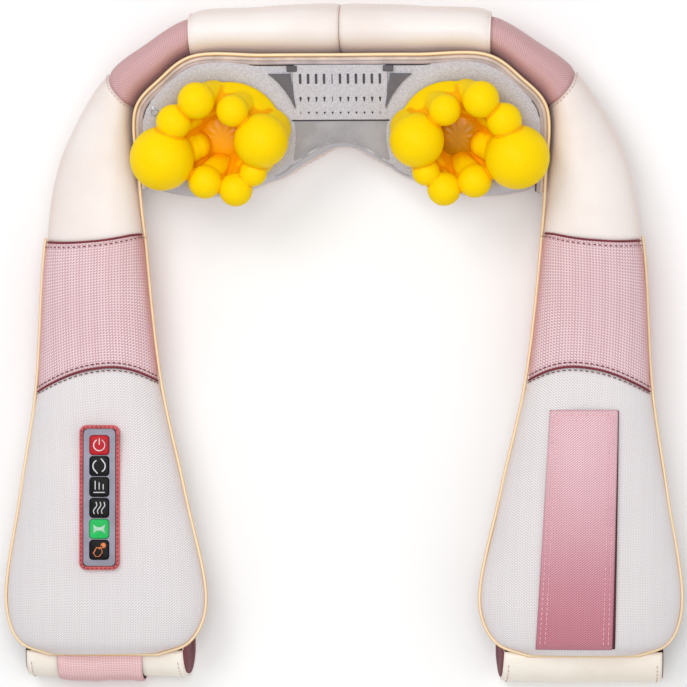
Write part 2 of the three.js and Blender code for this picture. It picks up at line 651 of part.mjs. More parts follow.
// ---- Motor and rotor -------------------------------------------------------------------------
const motorShell = sleeveRing(rotorRadius + 0.6, motorRadius, motorLength).translate(0, 0, -motorLength / 2);
const drive = new THREE.Group();
drive.position.set(0, wormOffset, -driveDepth);
pod.add(drive);
add('motor_can', motorShell.rotateY(Math.PI / 2), finishes.steel(), drive);
const saddleCut = rod(motorRadius + fit, 200, 20).rotateY(Math.PI / 2);
const bracketSize = 2 * (motorRadius + bracketWall);
add('motor_bracket', cut(box(14, bracketSize, bracketSize), saddleCut), finishes.nylon(), drive);
const rotorLength = headSpacing + wormLength + 8;
const bareShaft = rod(rotorRadius, rotorLength, 12).rotateY(Math.PI / 2);
const worms = sides.map(([, side]) => worm(-side).translate(side * headX, 0, 0));
add('worm_shaft', join(bareShaft, ...worms), finishes.steel(), drive);
for (const [name, side] of sides) {
  const block = cut(
    box(5, 12, motorRadius * 2 - 2, [0, 0, 0]),
    rod(rotorRadius + fit, 30, 12).rotateY(Math.PI / 2),
  );
  const bearing = add(`shaft_bearing_${name}`, block, finishes.brass(), drive);
  bearing.position.x = side * (headX + wormLength / 2 + 2.9);
}
const boardPlace = [motorLength / 2 + 16, wormOffset, caseBottom + caseWall + 1.4];
add('circuit_board', box(24, 24, 1.6, boardPlace), finishes.board(), pod);

// ---- Massage heads -----------------------------------------------------------------------------
// Eight moulded fingers stand round a hub. Each entry: angle, distance from the axis, ball radius.
const fingers = [
  [192, 38, bigBall], [147, ringRadius + 1, smallBall], [110, ringRadius + 3, smallBall + 0.6],
  [64, ringRadius - 3, smallBall - 0.8], [8, ringRadius, bigBall - 3], [325, ringRadius, smallBall - 2.6],
  [294, ringRadius + 1, smallBall - 0.4], [253, ringRadius - 6, smallBall - 0.4],
];
const headBase = 3;
const plateThickness = 6;
const hubDepth = 12;

function massageHead() {
  const plate = rod(hubRadius + 8, plateThickness, 14).translate(0, 0, headBase + plateThickness / 2);
  const tools = [];
  for (const [degrees, distance, radius] of fingers) {
    const angle = THREE.MathUtils.degToRad(degrees);
    const foot = new THREE.Vector3(Math.cos(angle), Math.sin(angle), 0).multiplyScalar(hubRadius + 3);
    foot.z = headBase + plateThickness / 2;
    const tip = new THREE.Vector3(Math.cos(angle) * distance, Math.sin(angle) * distance, ringHeight);
    const footRadius = Math.min(radius * 0.75, 9.5);
    const stem = new THREE.CylinderGeometry(radius * 0.8, footRadius, foot.distanceTo(tip), 6);
    const lean = new THREE.Quaternion().setFromUnitVectors(
      new THREE.Vector3(0, 1, 0), tip.clone().sub(foot).normalize());
    stem.applyQuaternion(lean).translate(...foot.clone().add(tip).multiplyScalar(0.5));
    tools.push(stem, new THREE.SphereGeometry(radius, 8, 6).rotateX(Math.PI / 2).translate(...tip));
  }
  const floorCut = box(200, 200, 20, [0, 0, headBase - 10]);
  const bore = rod(shaftRadius + fit, 12, 12).translate(0, 0, headBase + 0.5);
  const dish = rod(hubRadius - 5, 60, 12).translate(0, 0, headBase + hubDepth + 30 - 4);
  return cut(join(plate, ...tools), floorCut, bore, dish);
}

for (const [name, side] of sides) {
  const head = new THREE.Group();
  head.position.x = side * headX;
  pod.add(head);
  const shape = massageHead();
  add(`massage_head_${name}`, side < 0 ? shape : mirrored(shape), finishes.rubber(), head);
  const shaft = rod(shaftRadius, driveDepth + 14 + headBase, 12)
    .translate(0, 0, (headBase + 5 - driveDepth - 9) / 2);
  add(`worm_wheel_${name}`, join(wormWheel(), shaft), finishes.nylon(), head);
  const cap = sleeveRing(0.8, hubRadius - 5 - fit, 2.4).translate(0, 0, headBase + plateThickness + fit);
  add(`hub_cap_${name}`, cap, finishes.amber(), head);
  const bush = sleeveRing(shaftRadius + fit, bushOuter, caseWall + 1).translate(0, 0, lidBottom - 0.5);
  add(`head_bush_${name}`, bush, finishes.brass(), pod).position.x = side * headX;
}

// ---- Power inlet and neck piping ---------------------------------------------------------------
const jackBody = sleeveRing(2.8, 5.5, 13, 16).rotateX(Math.PI / 2);
add('power_inlet', jackBody, finishes.casing()).position.set(jackCentre[0], jackCentre[1] + 9, jackCentre[2]);

const neckPipingPoints = [];
for (let place = seams.band - 0.1; place > -(seams.band - 0.05); place -= 0.4) {
  const point = innerEdge.getPoint(along(Math.abs(place)));
  const tangent = innerEdge.getTangent(along(Math.abs(place)));
  const standOff = pipingRadius + fit;
  const y = point.y - tangent.x * standOff;
  neckPipingPoints.push(new THREE.Vector3(
    Math.sign(place) * (point.x + tangent.y * standOff), y, podFrontAt(y) + 3));
}
add('neck_piping', piping(neckPipingPoints), finishes.piping());

// ---- Origin: the middle of the footprint, on the surface the massager lies on ------------------
group.updateMatrixWorld(true);
const bounds = new THREE.Box3().setFromObject(group, true);
const centre = bounds.getCenter(new THREE.Vector3());
group.position.set(-centre.x, -centre.y, -bounds.min.z);
group.updateMatrixWorld(true);

export default group;
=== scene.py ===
"""Shiatsu neck massager lying on its back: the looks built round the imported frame. Metres, +Z up."""

import json
import math

import bmesh
import bpy
import numpy as np
from mathutils import Matrix, Vector, noise


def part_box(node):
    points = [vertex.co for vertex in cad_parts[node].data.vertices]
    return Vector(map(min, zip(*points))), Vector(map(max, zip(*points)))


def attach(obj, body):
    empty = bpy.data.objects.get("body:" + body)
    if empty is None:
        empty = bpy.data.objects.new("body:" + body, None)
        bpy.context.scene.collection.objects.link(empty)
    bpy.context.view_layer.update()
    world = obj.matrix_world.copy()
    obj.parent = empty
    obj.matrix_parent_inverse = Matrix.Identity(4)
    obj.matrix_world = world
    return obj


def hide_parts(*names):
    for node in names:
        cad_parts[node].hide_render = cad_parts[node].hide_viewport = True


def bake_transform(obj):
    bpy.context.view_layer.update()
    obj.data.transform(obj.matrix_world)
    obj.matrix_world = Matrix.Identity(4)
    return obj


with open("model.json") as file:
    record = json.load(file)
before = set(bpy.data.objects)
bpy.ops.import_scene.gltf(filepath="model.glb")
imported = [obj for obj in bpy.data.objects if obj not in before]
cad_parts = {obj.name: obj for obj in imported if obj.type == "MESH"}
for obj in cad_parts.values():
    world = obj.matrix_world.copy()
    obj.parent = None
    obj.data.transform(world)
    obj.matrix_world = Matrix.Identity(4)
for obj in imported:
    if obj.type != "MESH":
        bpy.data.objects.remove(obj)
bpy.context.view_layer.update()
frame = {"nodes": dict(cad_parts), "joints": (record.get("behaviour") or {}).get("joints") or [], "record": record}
MM = 0.001
SIDES = (("left", -1), ("right", 1))

# ---- Camera ----
LENS = 186
SENSOR_WIDTH = 36
CAMERA_DISTANCE = 2.5
CAMERA_LEAN_X = math.radians(3.0)     # the view comes slightly from the right
CAMERA_LEAN_Y = math.radians(1.5)
AIM = Vector((0.0005, -0.0005, 0.040))

camera = bpy.data.objects.new("camera", bpy.data.cameras.new("camera"))
bpy.context.scene.collection.objects.link(camera)
bpy.context.scene.camera = camera
camera.data.lens = LENS
camera.data.sensor_width = SENSOR_WIDTH
back = Vector((math.sin(CAMERA_LEAN_X), -math.sin(CAMERA_LEAN_Y), 1)).normalized()
camera.location = AIM + back * CAMERA_DISTANCE
turn_right = Vector((0, 1, 0)).cross(back).normalized()
turn_up = back.cross(turn_right)
camera.rotation_euler = Matrix((turn_right, turn_up, back)).transposed().to_euler()

# ---- Frame places ----
cover_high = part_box("neck_cover_right")[1]
NECK = 239 * MM                       # outer edge of the neck in the outline's own levels
SHIFT = cover_high.y - NECK           # from the outline's levels to the frame
JOINTS = {joint["name"]: joint for joint in frame["joints"]}
HEAD_AXIS = Vector(JOINTS["left_head_spin"]["axis"]).normalized()
HEAD_AT = {name: Vector(JOINTS[f"{name}_head_spin"]["pos_m"]) for name, _ in SIDES}
TILT = math.atan2(-HEAD_AXIS.y, HEAD_AXIS.z)

# ---- Collar outline ----
# Stations from the middle of the neck to the bottom of a pouch, in millimetres:
# outer edge, inner edge, height of the back, height of the front.
STATIONS = (
    ((0, 239), (0, 201), 0.5, 95),
    ((52.5, 237), (52.5, 201), 0.5, 94),
    ((105, 230.6), (104, 200), 1, 91),
    ((137, 212), (126, 185), 3, 85),
    ((164, 192), (144, 165), 5, 78),
    ((198, 136), (143.5, 115), 10, 68),
    ((210, 75), (141, 77), 14, 62),
    ((216.5, -33), (129.5, -25), 19, 62),
    ((226.3, -104), (111.8, -104), 23, 68),
    ((236.3, -184), (97.3, -184), 23, 65),
    ((227.3, -208), (108.3, -208), 27, 60),
    ((206.3, -217), (130.3, -217), 32, 53),
)
WEDGE, SHOULDER, BAND, POUCH, BOTTOM = 2, 4, 6, 7, 11


def centripetal(points):
    """A smooth curve through the points; the parameter runs from 0 to the last point's index."""
    points = np.array(points, float)
    ends = np.vstack((2 * points[0] - points[1], points, 2 * points[-1] - points[-2]))

    def at(place):
        index = min(int(max(place, 0)), len(points) - 2)
        t = place - index
        p0, p1, p2, p3 = ends[index:index + 4]
        steps = [max(np.linalg.norm(b - a), 1e-9) ** 0.5 for a, b in ((p0, p1), (p1, p2), (p2, p3))]
        m1 = steps[1] * ((p1 - p0) / steps[0] - (p2 - p0) / (steps[0] + steps[1]) + (p2 - p1) / steps[1])
        m2 = steps[1] * ((p2 - p1) / steps[1] - (p3 - p1) / (steps[1] + steps[2]) + (p3 - p2) / steps[2])
        return (
            (2 * t ** 3 - 3 * t ** 2 + 1) * p1 + (t ** 3 - 2 * t ** 2 + t) * m1
            + (3 * t ** 2 - 2 * t ** 3) * p2 + (t ** 3 - t ** 2) * m2
        )

    return at


outer_edge = centripetal([s[0] for s in STATIONS])
inner_edge = centripetal([s[1] for s in STATIONS])
levels = centripetal([(10 * i, s[2], s[3]) for i, s in enumerate(STATIONS)])


def squareness(place):
    """Power of the section's superellipse: boxier at the neck, a pinched pillow at the pouch."""
    stations = (0, WEDGE, BAND, POUCH, POUCH + 1, BOTTOM)
    return float(np.interp(place, stations, (2.7, 2.5, 2.35, 2.2, 2.05, 2.0)))


def surface_point(place, angle, inset, side):
    """A point on the padded collar, in metres. Angle 0 is the outer edge and 90 degrees the front."""
    outer, inner = outer_edge(place), inner_edge(place)
    _, low, high = levels(place)
    across = outer - inner
    width = np.linalg.norm(across)
    power = 2 / squareness(place)
    c, s = math.cos(angle), math.sin(angle)
    u = math.copysign(abs(c) ** power, c) * (width / 2 - inset)
    v = math.copysign(abs(s) ** power, s) * ((high - low) / 2 - inset)
    xy = (outer + inner) / 2 + across / width * u
    return np.array((side * xy[0] * MM, xy[1] * MM + SHIFT, ((low + high) / 2 + v) * MM))


# ---- Mesh helpers ----
def new_object(name, verts, faces, smooth=True):
    mesh = bpy.data.meshes.new(name)
    mesh.from_pydata([tuple(v) for v in verts], [], [tuple(f) for f in faces])
    work = bmesh.new()
    work.from_mesh(mesh)
    bmesh.ops.recalc_face_normals(work, faces=work.faces)
    work.to_mesh(mesh)
    work.free()
    for polygon in mesh.polygons:
        polygon.use_smooth = smooth
    obj = bpy.data.objects.new(name, mesh)
    bpy.context.scene.collection.objects.link(obj)
    return obj


def apply_modifiers(obj):
    depsgraph = bpy.context.evaluated_depsgraph_get()
    mesh = bpy.data.meshes.new_from_object(obj.evaluated_get(depsgraph))
    obj.modifiers.clear()
    obj.data = mesh
    return obj


def join_objects(name, objects):
    """Several closed pieces as one object."""
    work = bmesh.new()
    for obj in objects:
        start = obj.data.copy()
        start.transform(obj.matrix_world)
        work.from_mesh(start)
    mesh = bpy.data.meshes.new(name)
    work.to_mesh(mesh)
    work.free()
    for obj in objects:
        bpy.data.objects.remove(obj)
    for polygon in mesh.polygons:
        polygon.use_smooth = True
    joined = bpy.data.objects.new(name, mesh)
    bpy.context.scene.collection.objects.link(joined)
    return joined


def dress(obj, material):
    obj.data.materials.clear()
    obj.data.materials.append(material)
    return obj


def fit(obj, material, body, replaced=None):
    """Dresses a piece, lets it stand for a CAD node if one is named, and puts it on its body."""
    dress(obj, material)
    if replaced:
        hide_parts(replaced)
    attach(obj, body)
    return obj


def grid_skin(name, rings, closed_ends=True):
    """
    Skins closed rings of points and gives the skin a map named weave, in metres over the cloth.
    A closed end is a fan to the ring's middle, which folds over where the ring is C-shaped, as on the loops.
    """
    rings = np.array(rings)
    count, sides = rings.shape[:2]
    verts = [tuple(p) for ring in rings for p in ring]
    across = np.linalg.norm(np.roll(rings, -1, axis=1) - rings, axis=2)
    across = np.concatenate((np.zeros((count, 1)), np.cumsum(across, axis=1)), axis=1)
    across -= across[:, -1:] / 2
    along = np.linalg.norm(np.diff(rings, axis=0), axis=2).mean(axis=1)
    along = np.concatenate(((0,), np.cumsum(along)))
    faces, corners = [], []
    for ring in range(count - 1):
        for side in range(sides):
            after = (side + 1) % sides
            low, high = ring * sides, (ring + 1) * sides
            faces.append((low + side, low + after, high + after, high + side))
            corners.append((
                (across[ring, side], along[ring]), (across[ring, side + 1], along[ring]),
                (across[ring + 1, side + 1], along[ring + 1]), (across[ring + 1, side], along[ring + 1])))
    if closed_ends:
        for ring, flip in ((0, True), (count - 1, False)):
            verts.append(tuple(rings[ring].mean(axis=0)))
            for side in range(sides):
                pair = (ring * sides + side, ring * sides + (side + 1) % sides)
                faces.append((len(verts) - 1, *(pair[::-1] if flip else pair)))
                corners.append(((0, along[ring]),) * 3)
    mesh = bpy.data.meshes.new(name)
    mesh.from_pydata(verts, [], faces)
    layer = mesh.uv_layers.new(name="weave")
    layer.data.foreach_set("uv", np.array([c for face in corners for c in face], np.float32).ravel())
    mesh.polygons.foreach_set("use_smooth", [True] * len(mesh.polygons))
    mesh.update()
    work = bmesh.new()
    work.from_mesh(mesh)
    if work.calc_volume(signed=True) < 0:
        bmesh.ops.reverse_faces(work, faces=work.faces)
    work.to_mesh(mesh)
    work.free()
    obj = bpy.data.objects.new(name, mesh)
    bpy.context.scene.collection.objects.link(obj)
    return obj


def tube(name, points, radius, sides=10, closed=False, flatten=1.0):
    """A round cord through the points, with rounded ends."""
    points = [Vector(p) for p in points]
    rings = []
    count = len(points)
    normal = None
    for i, point in enumerate(points):
        before = points[(i - 1) % count] if closed or i else points[0]
        after = points[(i + 1) % count] if closed or i < count - 1 else points[-1]
        tangent = (after - before).normalized()
        if normal is None:
            normal = tangent.orthogonal().normalized()
        normal = (normal - tangent * normal.dot(tangent)).normalized()
        other = tangent.cross(normal)
        rings.append([
            point + (normal * math.cos(a) + other * math.sin(a) * flatten) * radius
            for a in (2 * math.pi * k / sides for k in range(sides))])
    if closed:
        rings.append(rings[0])
        verts = [v for ring in rings[:-1] for v in ring]
        faces = []
        for i in range(count):
            for k in range(sides):
                a, b = i * sides, ((i + 1) % count) * sides
                faces.append((a + k, a + (k + 1) % sides, b + (k + 1) % sides, b + k))
        return new_object(name, verts, faces)
    ends = []
    for index, sign in ((0, -1), (count - 1, 1)):
        step = (points[1] - points[0]) if index == 0 else (points[-1] - points[-2])
        push = step.normalized() * sign
        ring = rings[index]
        middle = points[index]
        ends.append([[middle + (p - middle) * math.cos(t) + push * radius * math.sin(t) for p in ring]
                     for t in (math.radians(35), math.radians(65))])
    rings = [ends[0][1], ends[0][0], *rings, ends[1][0], ends[1][1]]
    return grid_skin(name, [[tuple(p) for p in ring] for ring in rings])


def plate(name, outline, low, high):
    """A flat piece of any outline."""
    count = len(outline)
    verts = [(x, y, z) for z in (low, high) for x, y in outline]
    sides = [(k, (k + 1) % count, count + (k + 1) % count, count + k) for k in range(count)]
    return new_object(name, verts, [tuple(range(count)), tuple(range(count, 2 * count)), *sides], False)


def stitches(name, path, length=2.2 * MM, gap=1.3 * MM, radius=0.32 * MM, lift=0.2 * MM, up=None):
    """A row of stitches along a path: short rounded dashes standing on the cloth."""
    path = [Vector(p) for p in path]
    steps = [0.0]
    for a, b in zip(path, path[1:]):
        steps.append(steps[-1] + (b - a).length)

    def at(distance):
        index = int(np.searchsorted(steps, distance, side="right") - 1)
        index = min(max(index, 0), len(path) - 2)
        span = max(steps[index + 1] - steps[index], 1e-9)
        return path[index].lerp(path[index + 1], (distance - steps[index]) / span)

    start = gap
    verts, faces = [], []
    up = Vector(up or (0, 0, 1))
    while start + length < steps[-1]:
        a, b = at(start), at(start + length)
        direction = (b - a).normalized()
        side = direction.cross(up).normalized()
        height = side.cross(direction)
        base = len(verts)
        for t, size in ((0, 0.35), (0.14, 0.9), (0.5, 1), (0.86, 0.9), (1, 0.35)):
            centre = a.lerp(b, t) + height * (lift * (1 - 1.6 * abs(t - 0.5)))
            for k in range(6):
                angle = math.pi * k / 3
                verts.append(centre + (side * math.cos(angle) + height * math.sin(angle)) * radius * size)
        for ring in range(4):
            for k in range(6):
                faces.append((base + ring * 6 + k, base + ring * 6 + (k + 1) % 6,
                              base + (ring + 1) * 6 + (k + 1) % 6, base + (ring + 1) * 6 + k))
        faces.append(tuple(base + k for k in reversed(range(6))))
        faces.append(tuple(base + 24 + k for k in range(6)))
        start += length + gap
    return new_object(name, verts, faces)


# ---- Materials ----
def rgb(r, g, b):
    """An sRGB colour out of 255 as linear values."""
    def linear(c):
        c /= 255
        return c / 12.92 if c <= 0.04045 else ((c + 0.055) / 1.055) ** 2.4
    return (linear(r), linear(g), linear(b), 1)


class Nodes:
    """A material with short ways to add and join nodes."""

    def __init__(self, name, roughness=0.5, **sockets):
        self.material = bpy.data.materials.new(name)
        self.material.use_nodes = True
        self.tree = self.material.node_tree
        self.shader = self.tree.nodes["Principled BSDF"]
        self.shader.inputs["Roughness"].default_value = roughness
        for socket, value in sockets.items():
            self.shader.inputs[socket.replace("_", " ")].default_value = value

    def add(self, kind, inputs=(), **settings):
        node = self.tree.nodes.new(kind)
        for key, value in settings.items():
            setattr(node, key, value)
        for key, value in dict(inputs).items():
            if hasattr(value, "links"):
                self.tree.links.new(value, node.inputs[key])
            else:
                node.inputs[key].default_value = value
        return node

    def math(self, operation, a, b=0.0, c=0.0):
        return self.add("ShaderNodeMath", {0: a, 1: b, 2: c}, operation=operation).outputs[0]

    def mix(self, factor, a, b, blend="MIX"):
        node = self.add("ShaderNodeMix", {"Factor": factor}, data_type="RGBA", blend_type=blend)
        for socket, value in ((6, a), (7, b)):
            if hasattr(value, "links"):
                self.tree.links.new(value, node.inputs[socket])
            else:
                node.inputs[socket].default_value = value
        return node.outputs[2]

    def ramp(self, value, low, high):
        return self.add(
            "ShaderNodeMapRange", {"Value": value, "From Min": low, "From Max": high},
            interpolation_type="SMOOTHSTEP").outputs[0]

    def noise(self, scale, vector=None, detail=3.0, roughness=0.55):
        inputs = {"Scale": scale, "Detail": detail, "Roughness": roughness}
        if vector is not None:
            inputs["Vector"] = vector
        return self.add("ShaderNodeTexNoise", inputs).outputs["Fac"]

    def place(self):
        return self.add("ShaderNodeTexCoord").outputs["Object"]

    def turned(self, facing, sideways):
        """1 where the surface has turned to the side, 0 where it faces the front: the mask for painted shade on
        turned sides and the painted highlight along tops.
        """
        normal = self.add("ShaderNodeTexCoord").outputs["Normal"]
        up = self.add("ShaderNodeSeparateXYZ", {0: normal}).outputs[2]
        return self.ramp(up, facing, sideways)

    def weave_axes(self):
        node = self.add("ShaderNodeUVMap", uv_map="weave")
        split = self.add("ShaderNodeSeparateXYZ", {0: node.outputs[0]})
        return split.outputs[0], split.outputs[1]

    def finish(self, colour=None, height=None, strength=0.3, distance=0.0004, rough=None):
        links = self.tree.links
        if colour is not None:
            links.new(colour, self.shader.inputs["Base Color"])
        if height is not None:
            bump = self.add("ShaderNodeBump", {"Height": height, "Strength": strength, "Distance": distance})
            links.new(bump.outputs[0], self.shader.inputs["Normal"])
        if rough is not None:
            links.new(rough, self.shader.inputs["Roughness"])
        return self.material


def leather(name, light, shade, edge, grain=900):
    m = Nodes(name, 0.42, Sheen_Weight=0.2, Sheen_Roughness=0.4, Specular_IOR_Level=0.4)
    where = m.place()
    cloud = m.ramp(m.noise(14, where, 4), 0.35, 0.7)
    pores = m.add("ShaderNodeTexVoronoi", {"Vector": where, "Scale": grain}, feature="F1").outputs["Distance"]
    creases = m.noise(160, where, 5, 0.6)
    height = m.math("ADD", m.math("MULTIPLY", pores, 0.35), m.math("MULTIPLY", creases, 0.5))
    colour = m.mix(cloud, rgb(*light), rgb(*shade))
    colour = m.mix(m.math("MULTIPLY", m.ramp(pores, 0.5, 0.1), 0.12), colour, rgb(*[c * 0.86 for c in shade]))
    # painted shade: the edge colour comes in where the leather turns to the side
    colour = m.mix(m.math("MULTIPLY", m.turned(0.85, 0.15), 0.7), colour, rgb(*edge))
    return m.finish(colour, height, 0.22, 0.0004, m.math("MULTIPLY_ADD", cloud, 0.12, 0.36))


def woven(name, light, dark, pitch, edge, glints=0.3, bump=0.45, lean=0.35, fade=None):
    """Cloth of crossed diagonal ribs, with painted glints on the raised ribs. The edge colour is painted shade
    that comes in where the cloth turns to the side.
    """
    m = Nodes(name, 0.58, Sheen_Weight=0.3, Sheen_Roughness=0.35, Specular_IOR_Level=0.35)
    u, v = m.weave_axes()
    turns = math.pi / pitch
    first = m.math("SINE", m.math("MULTIPLY", m.math("ADD", u, v), turns))
    second = m.math("SINE", m.math("MULTIPLY", m.math("SUBTRACT", u, v), turns))
    cell = m.math("MULTIPLY", first, second)
    rib = m.math("SINE", m.math("MULTIPLY", m.math("ADD", m.math("MULTIPLY", u, 0.8), v), turns * 2))
    weave = m.math("ADD", m.math("MULTIPLY", cell, 1 - lean), m.math("MULTIPLY", rib, lean))
    cloud = m.ramp(m.noise(20, m.place(), 4), 0.3, 0.75)
    colour = m.mix(m.ramp(weave, -0.55, 0.45), rgb(*dark), rgb(*light))
    # painted highlight: whitish glints on the raised ribs
    colour = m.mix(m.math("MULTIPLY", m.ramp(weave, 0.3, 0.8), glints), colour, rgb(252, 244, 243))
    colour = m.mix(m.math("MULTIPLY", cloud, 0.2), colour, rgb(*dark))
    if fade:
        shade, first_end, last_end = fade
        down = m.ramp(v, first_end, last_end)
        colour = m.mix(m.math("MULTIPLY", down, 0.8), colour, rgb(*shade), "MULTIPLY")
    # painted shade where the cloth turns to the side
    colour = m.mix(m.math("MULTIPLY", m.turned(0.8, 0.15), 0.75), colour, rgb(*edge))
    return m.finish(colour, weave, bump, 0.0005)


def air_mesh(name, light, dark, grain=1500):
    """Fine speckled spacer mesh."""
    m = Nodes(name, 0.8, Sheen_Weight=0.2, Specular_IOR_Level=0.25)
    where = m.place()
    cells = m.add("ShaderNodeTexVoronoi", {"Vector": where, "Scale": grain}, feature="F1").outputs["Distance"]
    speckle = m.noise(grain * 0.55, where, 2)
    cloud = m.ramp(m.noise(30, where, 4), 0.3, 0.7)
    mask = m.math("ADD", m.math("MULTIPLY", m.ramp(speckle, 0.38, 0.62), 0.6), m.math("MULTIPLY", cells, 0.5))
    colour = m.mix(mask, rgb(*dark), rgb(*light))
    colour = m.mix(m.math("MULTIPLY", cloud, 0.3), colour, rgb(*[c * 0.93 for c in light]))
    return m.finish(colour, cells, 0.4, 0.0004)


def cord(name, top, side):
    """Satin piping, golden, with a painted highlight: pale along the top and golden down its sides, with twisted
    yarn.
    """
    m = Nodes(name, 0.42, Sheen_Weight=0.2)
    u, v = m.weave_axes()
    twist = m.math("SINE", m.math("MULTIPLY", m.math("ADD", u, v), math.pi / (0.9 * MM)))
    cloud = m.noise(60, m.place(), 3)
    # painted highlight along the top, painted shade down the sides
    colour = m.mix(m.turned(0.92, 0.55), rgb(*top), rgb(*side))
    colour = m.mix(m.math("MULTIPLY", cloud, 0.25), colour, rgb(*[c * 0.93 for c in side]))
    return m.finish(colour, twist, 0.25, 0.0002)


def plain(name, base, roughness=0.4, grain=600.0, metallic=0.0, variation=0.12, bump=0.08, **sockets):
    m = Nodes(name, roughness, Metallic=metallic, **sockets)
    where = m.place()
    cloud = m.ramp(m.noise(grain * 0.08, where, 4), 0.3, 0.7)
    fine = m.noise(grain, where, 3)
    darker = rgb(*[c * (1 - variation) for c in base])
    colour = m.mix(cloud, rgb(*base), darker)
    rough = m.math("MULTIPLY_ADD", fine, 0.16, roughness - 0.08)
    return m.finish(colour, fine, bump, 0.0002, rough)


def silicone():
    """Moulded yellow heads, with painted shade: the colour deepens to orange in the creases and towards the hub.
    """
    m = Nodes("yellow_silicone", 0.45, Subsurface_Weight=0.2, Subsurface_Scale=0.004, Specular_IOR_Level=0.07)
    crease_shade = m.add("ShaderNodeAttribute", attribute_name="crease_shade").outputs["Fac"]
    where = m.place()
    # painted shade: orange in the creases and down the bowl towards the hub
    colour = m.mix(m.ramp(crease_shade, 0.15, 0.95), rgb(250, 212, 0), rgb(243, 164, 0))
    colour = m.mix(m.math("MULTIPLY", m.noise(40, where, 3), 0.12), colour, rgb(250, 196, 8))
    fine = m.noise(1400, where, 3)
    return m.finish(colour, fine, 0.06, 0.0002)


# The last colour of each leather and woven cloth is painted shade where the surface turns to the side; on the pink
# band it is also a painted reddish reflection.
CREAM = leather("cream_leather", (240, 231, 227), (233, 221, 215), (222, 196, 184))
# painted light: the loop leather is paler than the cream cover, to lift the shade that the loops lie in
LIT_LOOP_CREAM = leather("loop_leather_lightened", (250, 243, 232), (240, 230, 216), (236, 222, 204), 700)
PINK = woven("pink_weave", (236, 210, 214), (198, 152, 161), 2.1 * MM, (200, 116, 106), 0.55)
WEDGE_PINK = woven("wedge_weave", (216, 176, 178), (192, 142, 146), 1.5 * MM, (190, 128, 126), 0.2)
STRAP = woven("strap_weave", (242, 208, 214), (208, 150, 164), 1.7 * MM, (176, 90, 110), 0.3, lean=0.7,
              fade=((212, 146, 162), 0.02, 0.16))
WRAP = woven("wrap_weave", (250, 218, 219), (226, 172, 176), 1.9 * MM, (206, 138, 140), 0.35)
CANVAS = woven("pouch_canvas", (236, 231, 231), (207, 201, 204), 1.8 * MM, (224, 204, 196), 0.45, 0.35, 0.6)
GOLD = cord("gold_piping", (250, 231, 196), (228, 172, 100))
MESH = air_mesh("mesh_fabric", (208, 206, 212), (176, 173, 181))
GRILLE = air_mesh("slot_grille", (208, 205, 211), (178, 175, 182))
LOWER = plain("liner_satin", (170, 167, 171), 0.5, 900, variation=0.1, bump=0.12, Sheen_Weight=0.2)
DARK = plain("slot_dark", (92, 89, 96), 0.7, 700)
# painted shadow for the crescent valleys beside the slot panel
CRESCENT_SHADOW = plain("dark_trim", (104, 101, 108), 0.7, 700)
# Dark of the apron seam and the zip; on the thin cord at the liner's edge it is painted shadow.
DARK_SEAM_AND_SHADOW = plain("dark_seam_and_shadow", (62, 60, 70), 0.8, 500)
# painted shade: the cover's side wall under the piping, darker than the cream leather
WALL_HALF_SHADE = plain("cover_wall_half_shade", (226, 210, 200), 0.6, 900, Sheen_Weight=0.3)
WALL_DEEP_SHADE = plain("cover_wall_deep_shade", (196, 180, 182), 0.65, 900, Sheen_Weight=0.3)
YELLOW = silicone()
AMBER = plain("amber_hub", (246, 176, 6), 0.3, 300, variation=0.25, bump=0.3, Specular_IOR_Level=0.3)
BORDER = plain("panel_border", (219, 96, 100), 0.5, 900, variation=0.15, bump=0.25)
THREAD = plain("dark_thread", (128, 34, 48), 0.7, 2000)
SEAM_THREAD = plain("seam_thread", (120, 44, 54), 0.7, 2000)
PALE_THREAD = plain("pale_thread", (206, 172, 150), 0.7, 2000)
STRAP_THREAD = plain("strap_thread", (248, 196, 208), 0.7, 2000)
MEMBRANE = plain("panel_face", (150, 147, 164), 0.45, 700)
KEY_BLACK = plain("black_key", (17, 15, 18), 0.45, 500, Specular_IOR_Level=0.15)
KEY_RED = plain("red_key", (196, 34, 44), 0.45, 500, Specular_IOR_Level=0.15)
KEY_GREEN = plain("green_key", (40, 196, 96), 0.45, 500, Specular_IOR_Level=0.15)
ICON_WHITE = plain("icon_white", (240, 238, 240), 0.5, 500)
ICON_ORANGE = plain("icon_orange", (244, 140, 84), 0.5, 500)
ICON_PALE = plain("icon_pale", (200, 240, 214), 0.5, 500)
MAROON = plain("loop_lining", (128, 62, 72), 0.75, 500)
# painted shadow under the strap's outer edge
STRAP_SHADOW_DARK = plain("strap_edge_shadow", (92, 40, 46), 0.8, 500)
STEEL = plain("steel", (186, 188, 192), 0.3, 500, metallic=1.0)
BRASS = plain("brass", (200, 162, 90), 0.32, 500, metallic=1.0)
NYLON = plain("nylon", (232, 228, 216), 0.5, 500)
CASING = plain("casing_plastic", (60, 61, 68), 0.5, 900)
BOARD = plain("circuit", (28, 92, 56), 0.5, 500)
FOAM = plain("foam", (244, 238, 216), 0.95, 700, bump=0.6)

# ---- Padded panels ----
SEAM_TUCK = 1.5        # how far a panel pulls in at its seam, in millimetres
SEAM_REACH = 0.09      # share of a station over which it does so
LIP = 5.0              # how far an open end turns in under its neighbour
SECTION_POINTS = 72


